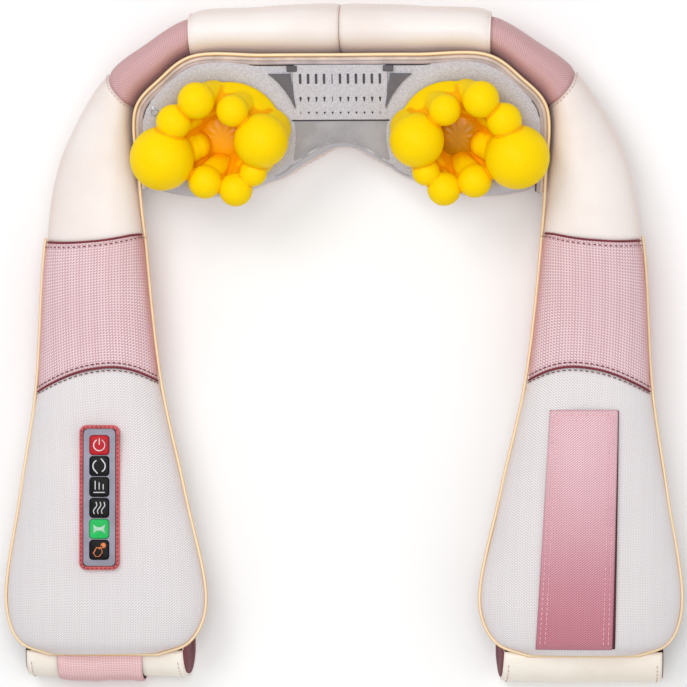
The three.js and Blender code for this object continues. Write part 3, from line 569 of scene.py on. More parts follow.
def panel(name, side, start, end, rings, start_bow=lambda u: 0, end_bow=lambda u: 0, closed_tip=False,
          shape=lambda place, angle: 0):
    """A stuffed panel between two places along the collar. The bows curve its seams."""
    angles = [2 * math.pi * k / SECTION_POINTS - math.pi / 2 for k in range(SECTION_POINTS)]
    rows = []
    ends = [(0, LIP)] + [(k / rings, 0) for k in range(rings + 1)]
    if not closed_tip:
        ends.append((1, LIP))
    for share, lip in ends:
        ring = []
        for angle in angles:
            u = math.cos(angle)
            first, last = start + start_bow(u), end + end_bow(u)
            place = first + (last - first) * share
            near = min(place - first, 9 if closed_tip else last - place)
            inset = SEAM_TUCK * math.exp(-near / SEAM_REACH * 1.6) + lip + shape(place, angle)
            ring.append(surface_point(place, angle, inset, side))
        rows.append(ring)
    return grid_skin(name, rows)


def soft_folds(obj, amount, scale, seed):
    """Gentle unevenness of stuffed cloth."""
    obj.data.update()
    normals = [v.normal.copy() for v in obj.data.vertices]
    for vertex, normal in zip(obj.data.vertices, normals):
        value = noise.noise(vertex.co * scale + Vector((seed, 2 * seed, 3 * seed)))
        vertex.co += normal * value * amount
    obj.data.update()
    return obj


wedge_bow = lambda u: 0.11 * (1 - u * u)                 # the shoulder seam runs out round the bend
band_top_bow = lambda u: 0.042 * (1 - u * u) + 0.024 * u
pouch_bow = lambda u: -0.12 * (1 - u * u) * (1 - 0.25 * u)  # arched seam between band and pouch


def pouch_shape(place, angle):
    """A soft dent below the band seam, in the middle of the pouch's front."""
    if math.sin(angle) < 0:
        return 0
    u = math.cos(angle)
    return 2.2 * math.exp(-((place - POUCH - 0.35) / 0.4) ** 2 - (u / 0.33) ** 2)


def neck_shape(place, angle):
    """The neck cover ends in a fold that stands proud of the wedge."""
    return -2.6 * math.exp(-((WEDGE - place) / 0.5) ** 2)


def wedge_shape(place, angle):
    return 0.8 * math.exp(-((place - WEDGE) / 0.6) ** 2)


FOLD_DEPTH = {"pouch": 0.5 * MM}
FLOOR_GAP = 0.1 * MM
covers = {}
for name, side in SIDES:
    covers["neck", name] = dress(
        panel(f"neck_padding_{name}", side, 0.004, WEDGE, 44, shape=neck_shape), CREAM)
    covers["wedge", name] = dress(
        panel(f"wedge_padding_{name}", side, WEDGE - 0.03, SHOULDER, 26, end_bow=wedge_bow,
              shape=wedge_shape),
        WEDGE_PINK)
    covers["shoulder", name] = dress(
        panel(f"shoulder_padding_{name}", side, SHOULDER, BAND, 40, wedge_bow, band_top_bow),
        CREAM)
    covers["band", name] = dress(
        panel(f"band_padding_{name}", side, BAND, POUCH, 40, band_top_bow, pouch_bow), PINK)
    covers["pouch", name] = dress(
        panel(f"pouch_padding_{name}", side, POUCH, BOTTOM, 90, pouch_bow, closed_tip=True,
              shape=pouch_shape),
        CANVAS)
    for part, seed in (("neck", 1), ("wedge", 2), ("shoulder", 3), ("band", 4), ("pouch", 5)):
        soft_folds(covers[part, name], FOLD_DEPTH.get(part, 0.35 * MM), 28, seed + (side > 0) * 7)
        for vertex in covers[part, name].data.vertices:
            vertex.co.z = max(vertex.co.z, FLOOR_GAP)
    for part, node in (("neck", "neck_cover"), ("wedge", "wedge_panel"), ("shoulder", "shoulder_cover"),
                       ("band", "arm_band"), ("pouch", "pouch")):
        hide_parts(f"{node}_{name}")
    for part in ("neck", "wedge", "shoulder"):
        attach(covers[part, name], "root")

# ---- Control panel ----
border_low, border_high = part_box("panel_border")


def rounded_outline(half_x, half_y, radius, steps=8):
    points = []
    for cx, cy, start in ((1, 1, 0), (-1, 1, 90), (-1, -1, 180), (1, -1, 270)):
        for k in range(steps + 1):
            angle = math.radians(start + 90 * k / steps)
            points.append((cx * (half_x - radius) + radius * math.cos(angle),
                           cy * (half_y - radius) + radius * math.sin(angle)))
    return points


def slab(name, outline, low, high, bevel, centre=(0, 0)):
    """A flat piece with rounded upper edges."""
    outline = np.array(outline)
    size = np.abs(outline).max(axis=0)
    rings = []
    for inset, z in ((bevel, low), (0, low + bevel * 0.4), (0, high - bevel),
                     (bevel * 0.3, high - bevel * 0.3), (bevel, high), (min(size) * 0.6, high)):
        scale = 1 - inset / size
        rings.append([(centre[0] + x * scale[0], centre[1] + y * scale[1], z) for x, y in outline])
    return grid_skin(name, rings)


panel_middle = (border_low + border_high) / 2
UNDER_PANEL = 0.5 * MM
for vertex in covers["pouch", "left"].data.vertices:
    away_x = abs(vertex.co.x - panel_middle.x) - (border_high.x - border_low.x) / 2
    away_y = abs(vertex.co.y - panel_middle.y) - (border_high.y - border_low.y) / 2
    if max(away_x, away_y) < 4 * MM and vertex.co.z > panel_middle.z / 2:
        vertex.co.z = min(vertex.co.z, border_low.z - UNDER_PANEL)

half = (border_high - border_low) / 2
sunk = border_low.z - 3 * MM
frame_rings = []
for inset, z in ((0, sunk), (0, border_high.z - 0.8 * MM), (0.5 * MM, border_high.z - 0.15 * MM),
                 (1.2 * MM, border_high.z), (2.0 * MM, border_high.z - 0.1 * MM),
                 (2.45 * MM, border_high.z - 0.9 * MM), (2.45 * MM, sunk), (0, sunk)):
    outline = rounded_outline(half.x - inset, half.y - inset, 5 * MM - inset)
    frame_rings.append([(panel_middle.x + x, panel_middle.y + y, z) for x, y in outline])
border = grid_skin("panel_edging", frame_rings, closed_ends=False)
weld = bmesh.new()
weld.from_mesh(border.data)
bmesh.ops.remove_doubles(weld, verts=weld.verts, dist=1e-6)
bmesh.ops.recalc_face_normals(weld, faces=weld.faces)
weld.to_mesh(border.data)
weld.free()
fit(border, BORDER, "left_arm", "panel_border")
stitch_path = [(panel_middle.x + x, panel_middle.y + y, border_high.z) for x, y in
               rounded_outline(half.x - 1.25 * MM, half.y - 1.25 * MM, 3.75 * MM)]
stitch_path.append(stitch_path[0])
edge_stitches = stitches("panel_stitching", stitch_path, 2.0 * MM, 1.0 * MM, 0.3 * MM)
fit(edge_stitches, THREAD, "left_arm")
dress(frame["nodes"]["panel_face"], MEMBRANE)

KEYS = {"power": KEY_RED, "rotation": KEY_BLACK, "speed": KEY_BLACK, "vibration": KEY_BLACK,
        "massage": KEY_GREEN, "heat": KEY_BLACK}


def arc(radius, first, last, x=0, y=0, steps=14):
    return [(x + radius * math.cos(math.radians(t)), y + radius * math.sin(math.radians(t)))
            for t in np.linspace(first, last, steps)]


def wave(x):
    return [(x + 0.8 * math.sin(t * 2 * math.pi) + 1.4 * (0.5 - t), 3.8 - 7.6 * t)
            for t in np.linspace(0, 1, 14)]


# A key's symbol in millimetres round its middle: strokes, then filled shapes.
ICONS = {
    "power": ([arc(3.9, 122, 418), [(0, 4.4), (0, 0.6)]], []),
    "rotation": ([arc(4.3, -58, 52), arc(4.3, 122, 232), [(1.4, 4.9), (2.9, 3.3)],
                  [(-1.4, -4.9), (-2.9, -3.3)]], []),
    "speed": ([*([(x, -1.4), (x, top)] for x, top in ((-2.8, 3.9), (0, 2.8), (2.8, 1.6))),
               [(-3.6, -3.8), (3.6, -3.8)]], []),
    "vibration": ([wave(-2.8), wave(0), wave(2.8)], []),
    "massage": ([], [[(-4.4, 3.2), (-1.5, 1.3), (1.5, 1.3), (4.4, 3.2), (3.6, 0), (4.4, -3.2), (1.5, -1.3),
                      (-1.5, -1.3), (-4.4, -3.2), (-3.6, 0)]]),
    "heat": ([[(-3.9, -2.2), (-1.7, 1.7), (1.5, 1.4), (2.4, -1.6), (0.2, -4.5), (-2.2, -4.7), (-3.9, -2.2)]],
             [arc(1.9, 0, 343, 3, 3.1, 20), [(0.2, 0.2), (2.6, 2.3), (2.0, 3.0), (-0.5, 0.9)]]),
}
INKS = {"massage": ICON_PALE, "heat": ICON_ORANGE}

for kind, material in KEYS.items():
    low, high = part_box(f"button_{kind}")
    middle = (low + high) / 2
    outline = rounded_outline((high.x - low.x) / 2, (high.y - low.y) / 2, 2.4 * MM)
    key = slab(f"key_{kind}", outline, low.z, high.z, 0.9 * MM, (middle.x, middle.y))
    fit(key, material, f"{kind}_button", f"button_{kind}")
    strokes, shapes = ICONS[kind]
    pieces = [tube("stroke", [(middle.x + x * MM, middle.y + y * MM, high.z) for x, y in stroke],
                   0.55 * MM, 6, flatten=0.5) for stroke in strokes]
    pieces += [plate("shape", [(middle.x + x * MM, middle.y + y * MM) for x, y in shape], high.z - 0.2 * MM,
                     high.z + 0.25 * MM) for shape in shapes]
    fit(join_objects(f"symbol_{kind}", pieces), INKS.get(kind, ICON_WHITE), f"{kind}_button")

# ---- Piping ----
PIPING = 1.2 * MM
CORD_STAND_OFF = 0.9                  # from the collar's edge to the cord's middle, in millimetres
CORD_STEP = 0.08                      # of a station


def tangent_at(edge, place):
    """Unit direction along an edge of the collar."""
    step = edge(min(place + 0.01, BOTTOM)) - edge(max(place - 0.01, 0))
    return step / np.linalg.norm(step)


def edge_point(edge, place, side, outward):
    """A point just beside an edge of the collar, halfway through its thickness."""
    point, tangent = edge(place), tangent_at(edge, place)
    _, low, high = levels(place)
    x = point[0] - outward * tangent[1] * CORD_STAND_OFF
    y = point[1] + outward * tangent[0] * CORD_STAND_OFF
    return (side * x * MM, y * MM + SHIFT, (low + high) / 2 * MM)


def pod_front(y):
    """Height of the pod's front face at a level."""
    return HEAD_AT["left"].z + (y - HEAD_AT["left"].y) * math.tan(TILT)


inner_path = []
cord_end = BAND - 0.002
for place in np.linspace(cord_end, -cord_end, 2 * round(cord_end / CORD_STEP) + 1):
    x, y, _ = edge_point(inner_edge, abs(place), 1, -1)
    middle = float(np.mean(levels(abs(place))[1:])) * MM
    inner_path.append((math.copysign(x, place), y, max(middle, pod_front(y) + 3 * MM)))
fit(tube("neck_cord", inner_path, PIPING, 12), GOLD, "root", "neck_piping")

for name, side in SIDES:
    path = [edge_point(outer_edge, place, side, 1) for place in np.arange(BAND, BOTTOM + 0.001, CORD_STEP)]
    path += [edge_point(inner_edge, place, side, -1) for place in np.arange(BOTTOM, BAND, -CORD_STEP)]
    path.append(edge_point(inner_edge, BAND + 0.001, side, -1))
    cord = dress(tube(f"arm_cord_{name}", path, PIPING, 12), GOLD)
    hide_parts(f"arm_piping_{name}")
    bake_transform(cord)
    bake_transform(covers["band", name])
    core = panel(f"arm_core_{name}", side, BAND + 0.03, BOTTOM - 0.35, 60, closed_tip=True,
                 shape=lambda place, angle: 6.5 if place > POUCH - 0.3 else 5)
    dress(core, FOAM)
    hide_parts(f"arm_foam_{name}")
    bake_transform(core)
    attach(covers["pouch", name], f"{name}_arm")

# ---- Massage heads ----
BIG, SMALL, RING = 22, 12, 32
# Eight moulded fingers: angle, distance from the axis, ball radius, stem radius, in millimetres.
FINGERS = (
    (192, 38, BIG + 0.4, 17), (147, RING + 1.5, SMALL + 0.3, 10), (110, RING + 3.5, SMALL + 0.8, 10.5),
    (64, RING - 3, SMALL - 0.8, 10), (8, RING + 0.5, BIG - 3, 15), (325, RING, SMALL - 2.4, 8.5),
    (294, RING + 1.5, SMALL - 0.2, 9.5), (253, RING - 6, SMALL - 0.2, 10),
)
RING_HEIGHT = 30
HEAD_BASE = 3
LEAN = Vector((9, 3, 0))              # the fingers' feet stand off to one side of their tips
FOOT_SHARE = 0.86                     # of a finger's distance from the axis
local_turn = Matrix.Rotation(TILT, 4, "X")


def ball(radius, centre, squash=1.0):
    mesh = bpy.data.meshes.new("ball")
    work = bmesh.new()
    bmesh.ops.create_icosphere(work, subdivisions=4, radius=radius)
    work.to_mesh(mesh)
    work.free()
    obj = bpy.data.objects.new("ball", mesh)
    bpy.context.scene.collection.objects.link(obj)
    obj.matrix_world = Matrix.Translation(centre) @ Matrix.Diagonal((1, 1, squash, 1))
    return obj


def stem(foot, tip, foot_radius, tip_radius):
    direction = (tip - foot).normalized()
    side = direction.orthogonal().normalized()
    other = direction.cross(side)
    rings = []
    for t in np.linspace(0, 1, 8):
        centre = foot.lerp(tip, t)
        radius = foot_radius + (tip_radius - foot_radius) * t
        rings.append([tuple(centre + (side * math.cos(a) + other * math.sin(a)) * radius)
                      for a in np.linspace(0, 2 * math.pi, 25)[:-1]])
    return grid_skin("stem", rings)


def bowl():
    """The wall that the fingers grow from, open in the middle down to the hub."""
    rings = []
    for radius, height, shift in ((37, HEAD_BASE, 1), (38, 8, 0.9), (36, 16, 0.5), (33, 22, 0.2),
                                  (30, 24.5, 0.1), (26, 23, 0.1), (20, 17, 0.3), (16, 11, 0.4),
                                  (14, 8.5, 0.45)):
        rings.append([(LEAN.x * shift + radius * math.cos(a), LEAN.y * shift + radius * math.sin(a), height)
                      for a in np.linspace(0, 2 * math.pi, 49)[:-1]])
    return grid_skin("bowl", rings)


def massage_head(name, side):
    parts = [bowl()]
    mirror = Matrix.Diagonal((-side, 1, 1, 1))
    for degrees, distance, radius, stem_radius in FINGERS:
        angle = math.radians(degrees)
        tip = Vector((math.cos(angle) * distance, math.sin(angle) * distance, RING_HEIGHT))
        foot = Vector((math.cos(angle), math.sin(angle), 0)) * distance * FOOT_SHARE + LEAN
        foot.z = HEAD_BASE + 4
        parts.append(ball(radius, tip))
        parts.append(stem(foot, tip, stem_radius, stem_radius * 0.98))
        parts.append(ball(stem_radius, foot, 0.35))
    big_tip = Vector((-BIG - 12, -8, RING_HEIGHT - 8))
    parts.append(stem(big_tip, Vector((-14, -3, 13)), 16, 10))
    parts.append(ball(10, Vector((-14, -3, 13))))
    head = join_objects(f"kneading_head_{name}", parts)
    head.data.transform(Matrix.Diagonal((MM, MM, MM, 1)))
    remesh = head.modifiers.new("remesh", "REMESH")
    remesh.mode = "VOXEL"
    remesh.voxel_size = 0.9 * MM
    smooth = head.modifiers.new("smooth", "SMOOTH")
    smooth.factor = 0.5
    smooth.iterations = 5
    apply_modifiers(head)
    # painted shade in the creases, kept per point for the yellow material
    head.data.attributes.new("crease_shade", "FLOAT", "POINT").data.foreach_set("value", crease_shade_mask(head.data))
    head.data.transform(mirror)
    if side > 0:
        head.data.flip_normals()
    head.data.transform(Matrix.Translation(HEAD_AT[name]) @ local_turn)
    head.data.polygons.foreach_set("use_smooth", [True] * len(head.data.polygons))
    return head


def crease_shade_mask(mesh):
    """Mask for painted shade: 0 on the balls, rising in the creases between them and down the bowl towards the
    hub.
    """
    def read(items, key, width, kind=float):
        values = np.empty(len(items) * width, kind)
        items.foreach_get(key, values)
        return values.reshape(-1, width)

    places, normals = read(mesh.vertices, "co", 3), read(mesh.vertices, "normal", 3)
    ends = read(mesh.edges, "vertices", 2, int)
    degree = np.bincount(ends.ravel(), minlength=len(places))[:, None]

    def neighbour_mean(values):
        total = np.zeros_like(values)
        np.add.at(total, ends[:, 0], values[ends[:, 1]])
        np.add.at(total, ends[:, 1], values[ends[:, 0]])
        return total / degree

    hollow = ((neighbour_mean(places) - places) * normals).sum(axis=1, keepdims=True)
    for _ in range(14):
        hollow = neighbour_mean(hollow)
    crease = np.clip(hollow[:, 0] / (0.014 * MM), 0, 1) ** 1.4
    x, y, z = (places / MM).T
    near_hub = np.clip(1 - np.hypot(x - 3, y - 2) / 30, 0, 1)
    low = np.clip((RING_HEIGHT - 5 - z) / 18, 0, 1)
    return np.clip(crease * 0.7 + near_hub * low * 1.7 + low * 0.2, 0, 1)


HUB_RADIUS = 15.5


def moulded_hub(name, side):
    """The amber dome in the middle of a head, with short ribs moulded round it."""
    middle = Vector((-side * 4, 1.5, 0))
    rings = []
    for share in (1, 0.96, 0.88, 0.75, 0.6, 0.45, 0.3, 0.15, 0.05):
        rings.append([])
        for angle in np.linspace(0, 2 * math.pi, 97)[:-1]:
            rib = 0.45 * math.exp(-((share - 0.62) / 0.16) ** 2) * math.cos(12 * angle)
            height = HEAD_BASE + 5 + 3.6 * math.sqrt(1 - share ** 2) + max(rib, -0.1)
            rings[-1].append(((middle.x + HUB_RADIUS * share * math.cos(angle)) * MM,
                              (middle.y + HUB_RADIUS * share * math.sin(angle)) * MM, height * MM))
    base = [(x, y, HEAD_BASE * MM) for x, y, _ in rings[0]]
    return grid_skin(name, [base, *rings])


for name, side in SIDES:
    fit(massage_head(name, side), YELLOW, f"{name}_head", f"massage_head_{name}")
    hub = moulded_hub(f"hub_lens_{name}", side)
    hub.data.transform(Matrix.Translation(HEAD_AT[name]) @ local_turn)
    fit(hub, AMBER, f"{name}_head", f"hub_cap_{name}")

# ---- Pod: mesh liner, slotted panel and rear cover ----
HEAD_X = HEAD_AT["right"].x / MM
POD_BOTTOM = 102
POD_TOP = 200.6


OUTLINE_STEPS = 160


def pod_outline(inset=0.0):
    """The pod seen from the front, in millimetres, moved in by the inset."""
    half = [
        (0, POD_BOTTOM + 40), (12, POD_BOTTOM + 37.5), (22, POD_BOTTOM + 32), (35, POD_BOTTOM + 23.5),
        (41, POD_BOTTOM + 19), (HEAD_X - 31, POD_BOTTOM + 14), (HEAD_X - 20, POD_BOTTOM + 9.5),
        (HEAD_X, POD_BOTTOM + 5), (HEAD_X + 30, POD_BOTTOM + 5.5), (HEAD_X + 50, POD_BOTTOM + 12),
        (HEAD_X + 55.5, POD_BOTTOM + 28), (HEAD_X + 56.5, POD_BOTTOM + 48), (HEAD_X + 52, POD_BOTTOM + 64),
        (122, POD_TOP - 15), (105, POD_TOP - 5), (94, POD_TOP - 1), (47, POD_TOP),
    ]
    points = half + [(-x, y) for x, y in reversed(half[1:])]
    count = len(points)
    curve = centripetal([*points[-2:], *points, *points[:3]])
    smooth = [curve(2 + k * count / OUTLINE_STEPS) for k in range(OUTLINE_STEPS)]
    result = []
    for k, point in enumerate(smooth):
        step = smooth[(k + 1) % OUTLINE_STEPS] - smooth[k - 1]
        step = step / np.linalg.norm(step)
        result.append((point[0] - step[1] * inset, point[1] + step[0] * inset))
    return result


POD_VOXEL = 2.2 * MM


def pod_piece(name, inset, low, high_of, smooth_steps):
    """A rounded solid on the pod's outline, from one level up to a height that may vary along Y."""
    outline = pod_outline(inset)
    rings = [[(x * MM, y * MM + SHIFT, low * MM) for x, y in outline],
             [(x * MM, y * MM + SHIFT, high_of(y * MM + SHIFT)) for x, y in outline]]
    piece = grid_skin(name, rings)
    remesh = piece.modifiers.new("remesh", "REMESH")
    remesh.mode = "VOXEL"
    remesh.voxel_size = POD_VOXEL
    smooth = piece.modifiers.new("smooth", "SMOOTH")
    smooth.factor = 0.5
    smooth.iterations = smooth_steps
    return apply_modifiers(piece)


liner = pod_piece("pod_liner", 0.0, 13, pod_front, 14)
for vertex in liner.data.vertices:
    for head_name, _ in SIDES:
        at = HEAD_AT[head_name]
        away = math.hypot(vertex.co.x - at.x, (vertex.co.y - at.y) / math.cos(TILT)) / MM
        if vertex.co.z > 40 * MM:
            vertex.co.z += 2.5 * MM * math.exp(-((away - 47) / 9) ** 2)
            if away < 40:
                vertex.co.z -= 3 * MM * (1 - (away / 40) ** 4)
fit(liner, MESH, "root", "mesh_liner")

rear = pod_piece("pod_back", 0.4, 0, lambda y: 14 * MM, 3)
fit(rear, CREAM, "root", "rear_cover")

pod_frame = Matrix.Translation(Vector((0, HEAD_AT["left"].y, HEAD_AT["left"].z))) @ local_turn
GRILLE_WIDTH, GRILLE_HEIGHT, GRILLE_MIDDLE = 66, 40, 31
SLOTS, SLOT_PITCH = 11, 5.55


def cutter(width, height, x, y, taper=1.0):
    outline = rounded_outline(width / 2 * MM, height / 2 * MM, min(width, height) / 2.2 * MM, 3)
    outline = [(px * (taper if py < 0 else 1), py) for px, py in outline]
    rings = [[(x * MM + px, y * MM + py, z * MM) for px, py in outline] for z in (-3, 6)]
    return grid_skin("cutter", rings)


grille_outline = rounded_outline(GRILLE_WIDTH / 2 * MM, GRILLE_HEIGHT / 2 * MM, 2 * MM)
grille = slab("slot_grille", grille_outline, -1 * MM, 1.4 * MM, 0.5 * MM, (0, GRILLE_MIDDLE * MM))
cutters = []
for index in range(SLOTS):
    x = (index - (SLOTS - 1) / 2) * SLOT_PITCH
    width = 0.7 if index == 4 else 1.9            # one column of slots is narrower
    cutters.append(cutter(width, 7.6, x, GRILLE_MIDDLE + 10))
    cutters.append(cutter(width, 3.8, x, GRILLE_MIDDLE - 4.6, 0.5))
    cutters.append(cutter(1.7, 2.0, x, GRILLE_MIDDLE - 14.4, 0.45))
tool = join_objects("slot_tool", cutters)
boolean = grille.modifiers.new("slots", "BOOLEAN")
boolean.object = tool
boolean.solver = "EXACT"
apply_modifiers(grille)
bpy.data.objects.remove(tool)
grille.data.transform(pod_frame)
for polygon in grille.data.polygons:
    polygon.use_smooth = False
fit(grille, GRILLE, "root", "slot_panel")
backing_outline = rounded_outline((GRILLE_WIDTH / 2 - 1) * MM, (GRILLE_HEIGHT / 2 - 1) * MM, 2 * MM)
backing = slab("slot_backing", backing_outline, -1.6 * MM, 0.1 * MM, 0.4 * MM, (0, GRILLE_MIDDLE * MM))
backing.data.transform(pod_frame)
fit(backing, DARK, "root")

# Dark fins that fill the corners between the slots and the pod's rims: painted shadow in the valleys between the
# head domes and the slot panel.
FIN = ((34.6, 44.6), (50, 44.6), (46.5, 41.8), (43, 38.4), (38.6, 32.8), (34.4, 26), (31.6, 19.6), (31.3, 22),
       (32.4, 29), (32.8, 34), (34.0, 39))

for name, side in SIDES:
    block = slab(f"grille_clip_{name}", rounded_outline(3.6 * MM, 2.1 * MM, 0.6 * MM), 0.6 * MM, 2.4 * MM,
                 0.4 * MM, (side * 33.5 * MM, (GRILLE_MIDDLE + 17.5) * MM))
    block.data.transform(pod_frame)
    fit(block, DARK, "root")
    fin = plate(f"pod_crescent_{name}", [(side * x * MM, y * MM) for x, y in FIN], 0.4 * MM, 2.0 * MM)
    fin.data.transform(pod_frame)
    fit(fin, CRESCENT_SHADOW, "root", f"liner_trim_{name}")

# The smooth apron below the slots, rolled over the arch, with the seam above it.
APRON_HALF, APRON_TOP = 47, 156.2
arch = [(x, y) for x, y in pod_outline(0) if y < 150]
arch_x, arch_y = zip(*sorted(p for p in arch if abs(p[0]) < 60))


def apron_point(across, share):
    x = across * APRON_HALF
    low = float(np.interp(x, arch_x, arch_y)) - 0.7
    top = max(APRON_TOP - 26 * max(0, abs(across) - 0.72) / 0.28, low + 1)
    y = top + (low - top) * share
    to_edge = y - low
    drop = 4.5 * math.exp(-to_edge / 1.6)
    return Vector((x * MM, y * MM + SHIFT, pod_front(y * MM + SHIFT) + (1.3 - drop) * MM))


rings = []
for column in range(65):
    line = [apron_point(column / 32 - 1, k / 24) for k in range(25)]
    rings.append([tuple(p) for p in line] + [tuple(p - Vector((0, 0, 1.2 * MM))) for p in reversed(line)])
fit(grid_skin("pod_apron", rings), LOWER, "root")
seam_line = [apron_point(a, 0.004) + Vector((0, 0, 0.2 * MM)) for a in np.linspace(-0.72, 0.72, 30)]
fit(tube("apron_seam", seam_line, 0.55 * MM, 6), DARK_SEAM_AND_SHADOW, "root")

# Strips that edge the liner along the collar's inner edge: the beige and mauve cords are the cover's side wall
# turned in under the piping, painted darker than the cream leather as shade, and the thin dark cord is painted
# shadow in the gap below the cover.
for label, offset, radius, lift, material in (
        ("beige", 3.2, 1.5, 1.0, WALL_HALF_SHADE), ("mauve", 5.6, 1.6, 0.2, WALL_DEEP_SHADE), ("shadow", 7.3, 0.7, 0.3, DARK_SEAM_AND_SHADOW)):
    path = []
    for place in np.arange(5.2, -5.2, -0.1):
        point, tangent = inner_edge(abs(place)), tangent_at(inner_edge, abs(place))
        x, y = point[0] + tangent[1] * offset, point[1] - tangent[0] * offset
        y = y * MM + SHIFT
        path.append((math.copysign(x * MM, place), y, pod_front(y) + lift * MM))
    fit(tube(f"liner_edge_shade_{label}", path, radius * MM, 8), material, "root")

zip_path = []
for place in np.arange(2.3, 5.1, 0.05):
    point, tangent = inner_edge(place), tangent_at(inner_edge, place)
    x, y = -(point[0] + tangent[1] * 11), (point[1] - tangent[0] * 11) * MM + SHIFT
    zip_path.append((x * MM, y, pod_front(y) + 0.6 * MM))
fit(tube("liner_zip", zip_path, 0.5 * MM, 6), DARK_SEAM_AND_SHADOW, "root")
pull_at = Vector(zip_path[len(zip_path) // 2])
ring_points = [pull_at + Vector((2.4 * math.cos(a) + 1, 2.4 * math.sin(a) - 3, 1.6)) * MM
               for a in np.linspace(0, 2 * math.pi, 25)[:-1]]
pull = join_objects("zip_pull", [
    tube("ring", ring_points, 0.4 * MM, 6, closed=True),
    slab("slider", rounded_outline(1.3 * MM, 2.2 * MM, 0.5 * MM), pull_at.z, pull_at.z + 1.6 * MM, 0.4 * MM,
         (pull_at.x, pull_at.y))])
fit(pull, STEEL, "root")

# ---- Hand loops ----
LOOP_CLOTH, LINING_CLOTH = 2.4, 0.7              # thicknesses, in millimetres
LOOP_BACK, LINING_BACK, WRAP_BACK = -151, -154, -156
END_SLANT = 6          # the front of a loop stops short of its back at the end towards the middle


def loop_path(lift, top, rises, bow):
    """Outer line of a loop's strip in the Y-Z plane, in millimetres."""
    bottom = STATIONS[BOTTOM][0][1]
    low = bottom - 20.5 - lift + bow
    start = Vector((bottom + 1.5, 42 + lift))
    points = [start]

    def bend(a, control, b, steps=10):
        for t in np.linspace(0, 1, steps + 1)[1:]:
            points.append(a * (1 - t) ** 2 + control * 2 * t * (1 - t) + b * t ** 2)

    corner = Vector((low, 16))
    bend(start, Vector((low, 42 + lift)), corner)
    floor = Vector((low + 17.6, -lift))
    bend(corner, Vector((low, -lift)), floor)
    run = Vector((top - 14, -lift))
    points.extend(floor.lerp(run, t) for t in np.linspace(0, 1, 8)[1:])
    if rises:
        bend(run, Vector((top, -lift)), Vector((top, 20)))
    return points


SWAY = 0.8


def strip(name, side, lift, thickness, x_from, x_to, top, rises, columns=48, inward=0.0, slant=END_SLANT):
    """A band of cloth swept along X, with a little sag and rounded edges. Inward moves it inside the loop."""
    rings = []
    for column in range(columns + 1):
        share = column / columns
        edge = 1 - 0.55 * math.exp(-min(share, 1 - share) * 60)
        bow = SWAY * math.sin(share * 9 + side) * 0.5 + SWAY * math.sin(share * 23 + 2 * side) * 0.25
        run = loop_path(lift, top, rises, bow)
        outside, inside = [], []
        for k, point in enumerate(run):
            turn = (run[min(k + 1, len(run) - 1)] - run[max(k - 1, 0)]).normalized()
            normal = Vector((-turn.y, turn.x))
            middle = point + normal * (thickness / 2 + inward)
            front = np.clip(1 - k / 20, 0, 1)
            x = x_from + slant * front * (1 - share) ** 3 + (x_to - x_from) * share
            for skin, half_thick in ((outside, -thickness / 2 * edge), (inside, thickness / 2 * edge)):
                skin.append((x, middle + normal * half_thick))
        rings.append([(side * x * MM, p.x * MM + SHIFT, max(p.y, 0) * MM) for x, p in outside + inside[::-1]])
    return grid_skin(name, rings)


def cloth_length(lift, top, rises):
    """Length of a loop's outer line, in metres; the cloth's own middle is a little shorter."""
    run = loop_path(lift, top, rises, 0)
    return sum((b - a).length for a, b in zip(run, run[1:])) * MM


def loop_stitches(name, side, lift, x, slant):
    run = loop_path(lift, LOOP_BACK, True, 0)
    path = []
    for k, point in enumerate(run[2:24], 2):
        front = np.clip(1 - k / 20, 0, 1)
        y = point.x * MM + SHIFT - 0.2 * MM
        path.append((side * (x + slant * front) * MM, y, max(point.y, 0.5) * MM))
    return stitches(name, path, 2.2 * MM, 1.3 * MM, 0.32 * MM, 0, (0, -1, 0.3))


for name, side in SIDES:
    low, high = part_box(f"hand_loop_{name}")
    near, far = sorted((abs(low.x) / MM, abs(high.x) / MM))
    lift = -2.7 if name == "left" else 0
    loop = strip(f"loop_band_{name}", side, lift, LOOP_CLOTH, near, far, LOOP_BACK, True)
    fit(loop, LIT_LOOP_CREAM, f"{name}_arm", f"hand_loop_{name}")
    cloth_length(lift, LOOP_BACK, True)
    lining = strip(f"loop_lining_{name}", side, lift, LINING_CLOTH, near - 0.8, far + 0.8, LINING_BACK, True,
                   inward=2.5)
    fit(lining, MAROON, f"{name}_arm")
    cloth_length(lift, LINING_BACK, True)
    rows = [loop_stitches("row", side, lift, near + 3.5, END_SLANT),
            loop_stitches("row", side, lift, far - 3.5, 0)]
    fit(join_objects(f"loop_stitching_{name}", rows), PALE_THREAD, f"{name}_arm")
wrap_low, wrap_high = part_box("loop_wrap_left")
WRAP_SHIFT = 6          # the wrap sits this far towards the loop's outer end
wrap_near, wrap_far = abs(wrap_high.x) / MM + WRAP_SHIFT, abs(wrap_low.x) / MM + WRAP_SHIFT
wrap = strip("loop_sleeve_left", -1, 0.4, LOOP_CLOTH, wrap_near, wrap_far, WRAP_BACK, False, 30, slant=0)
fit(wrap, WRAP, "left_arm", "loop_wrap_left")
cloth_length(0, WRAP_BACK, False)

# ---- Front strap on the right pouch ----
STRAP_TOP, STRAP_BOTTOM = -46, -213
STRAP_CLOTH = 2.3 * MM
STRAP_EDGES = ((145.5, 192.8), (135.2, 188.4))     # inner and outer edge at the top and at the bottom


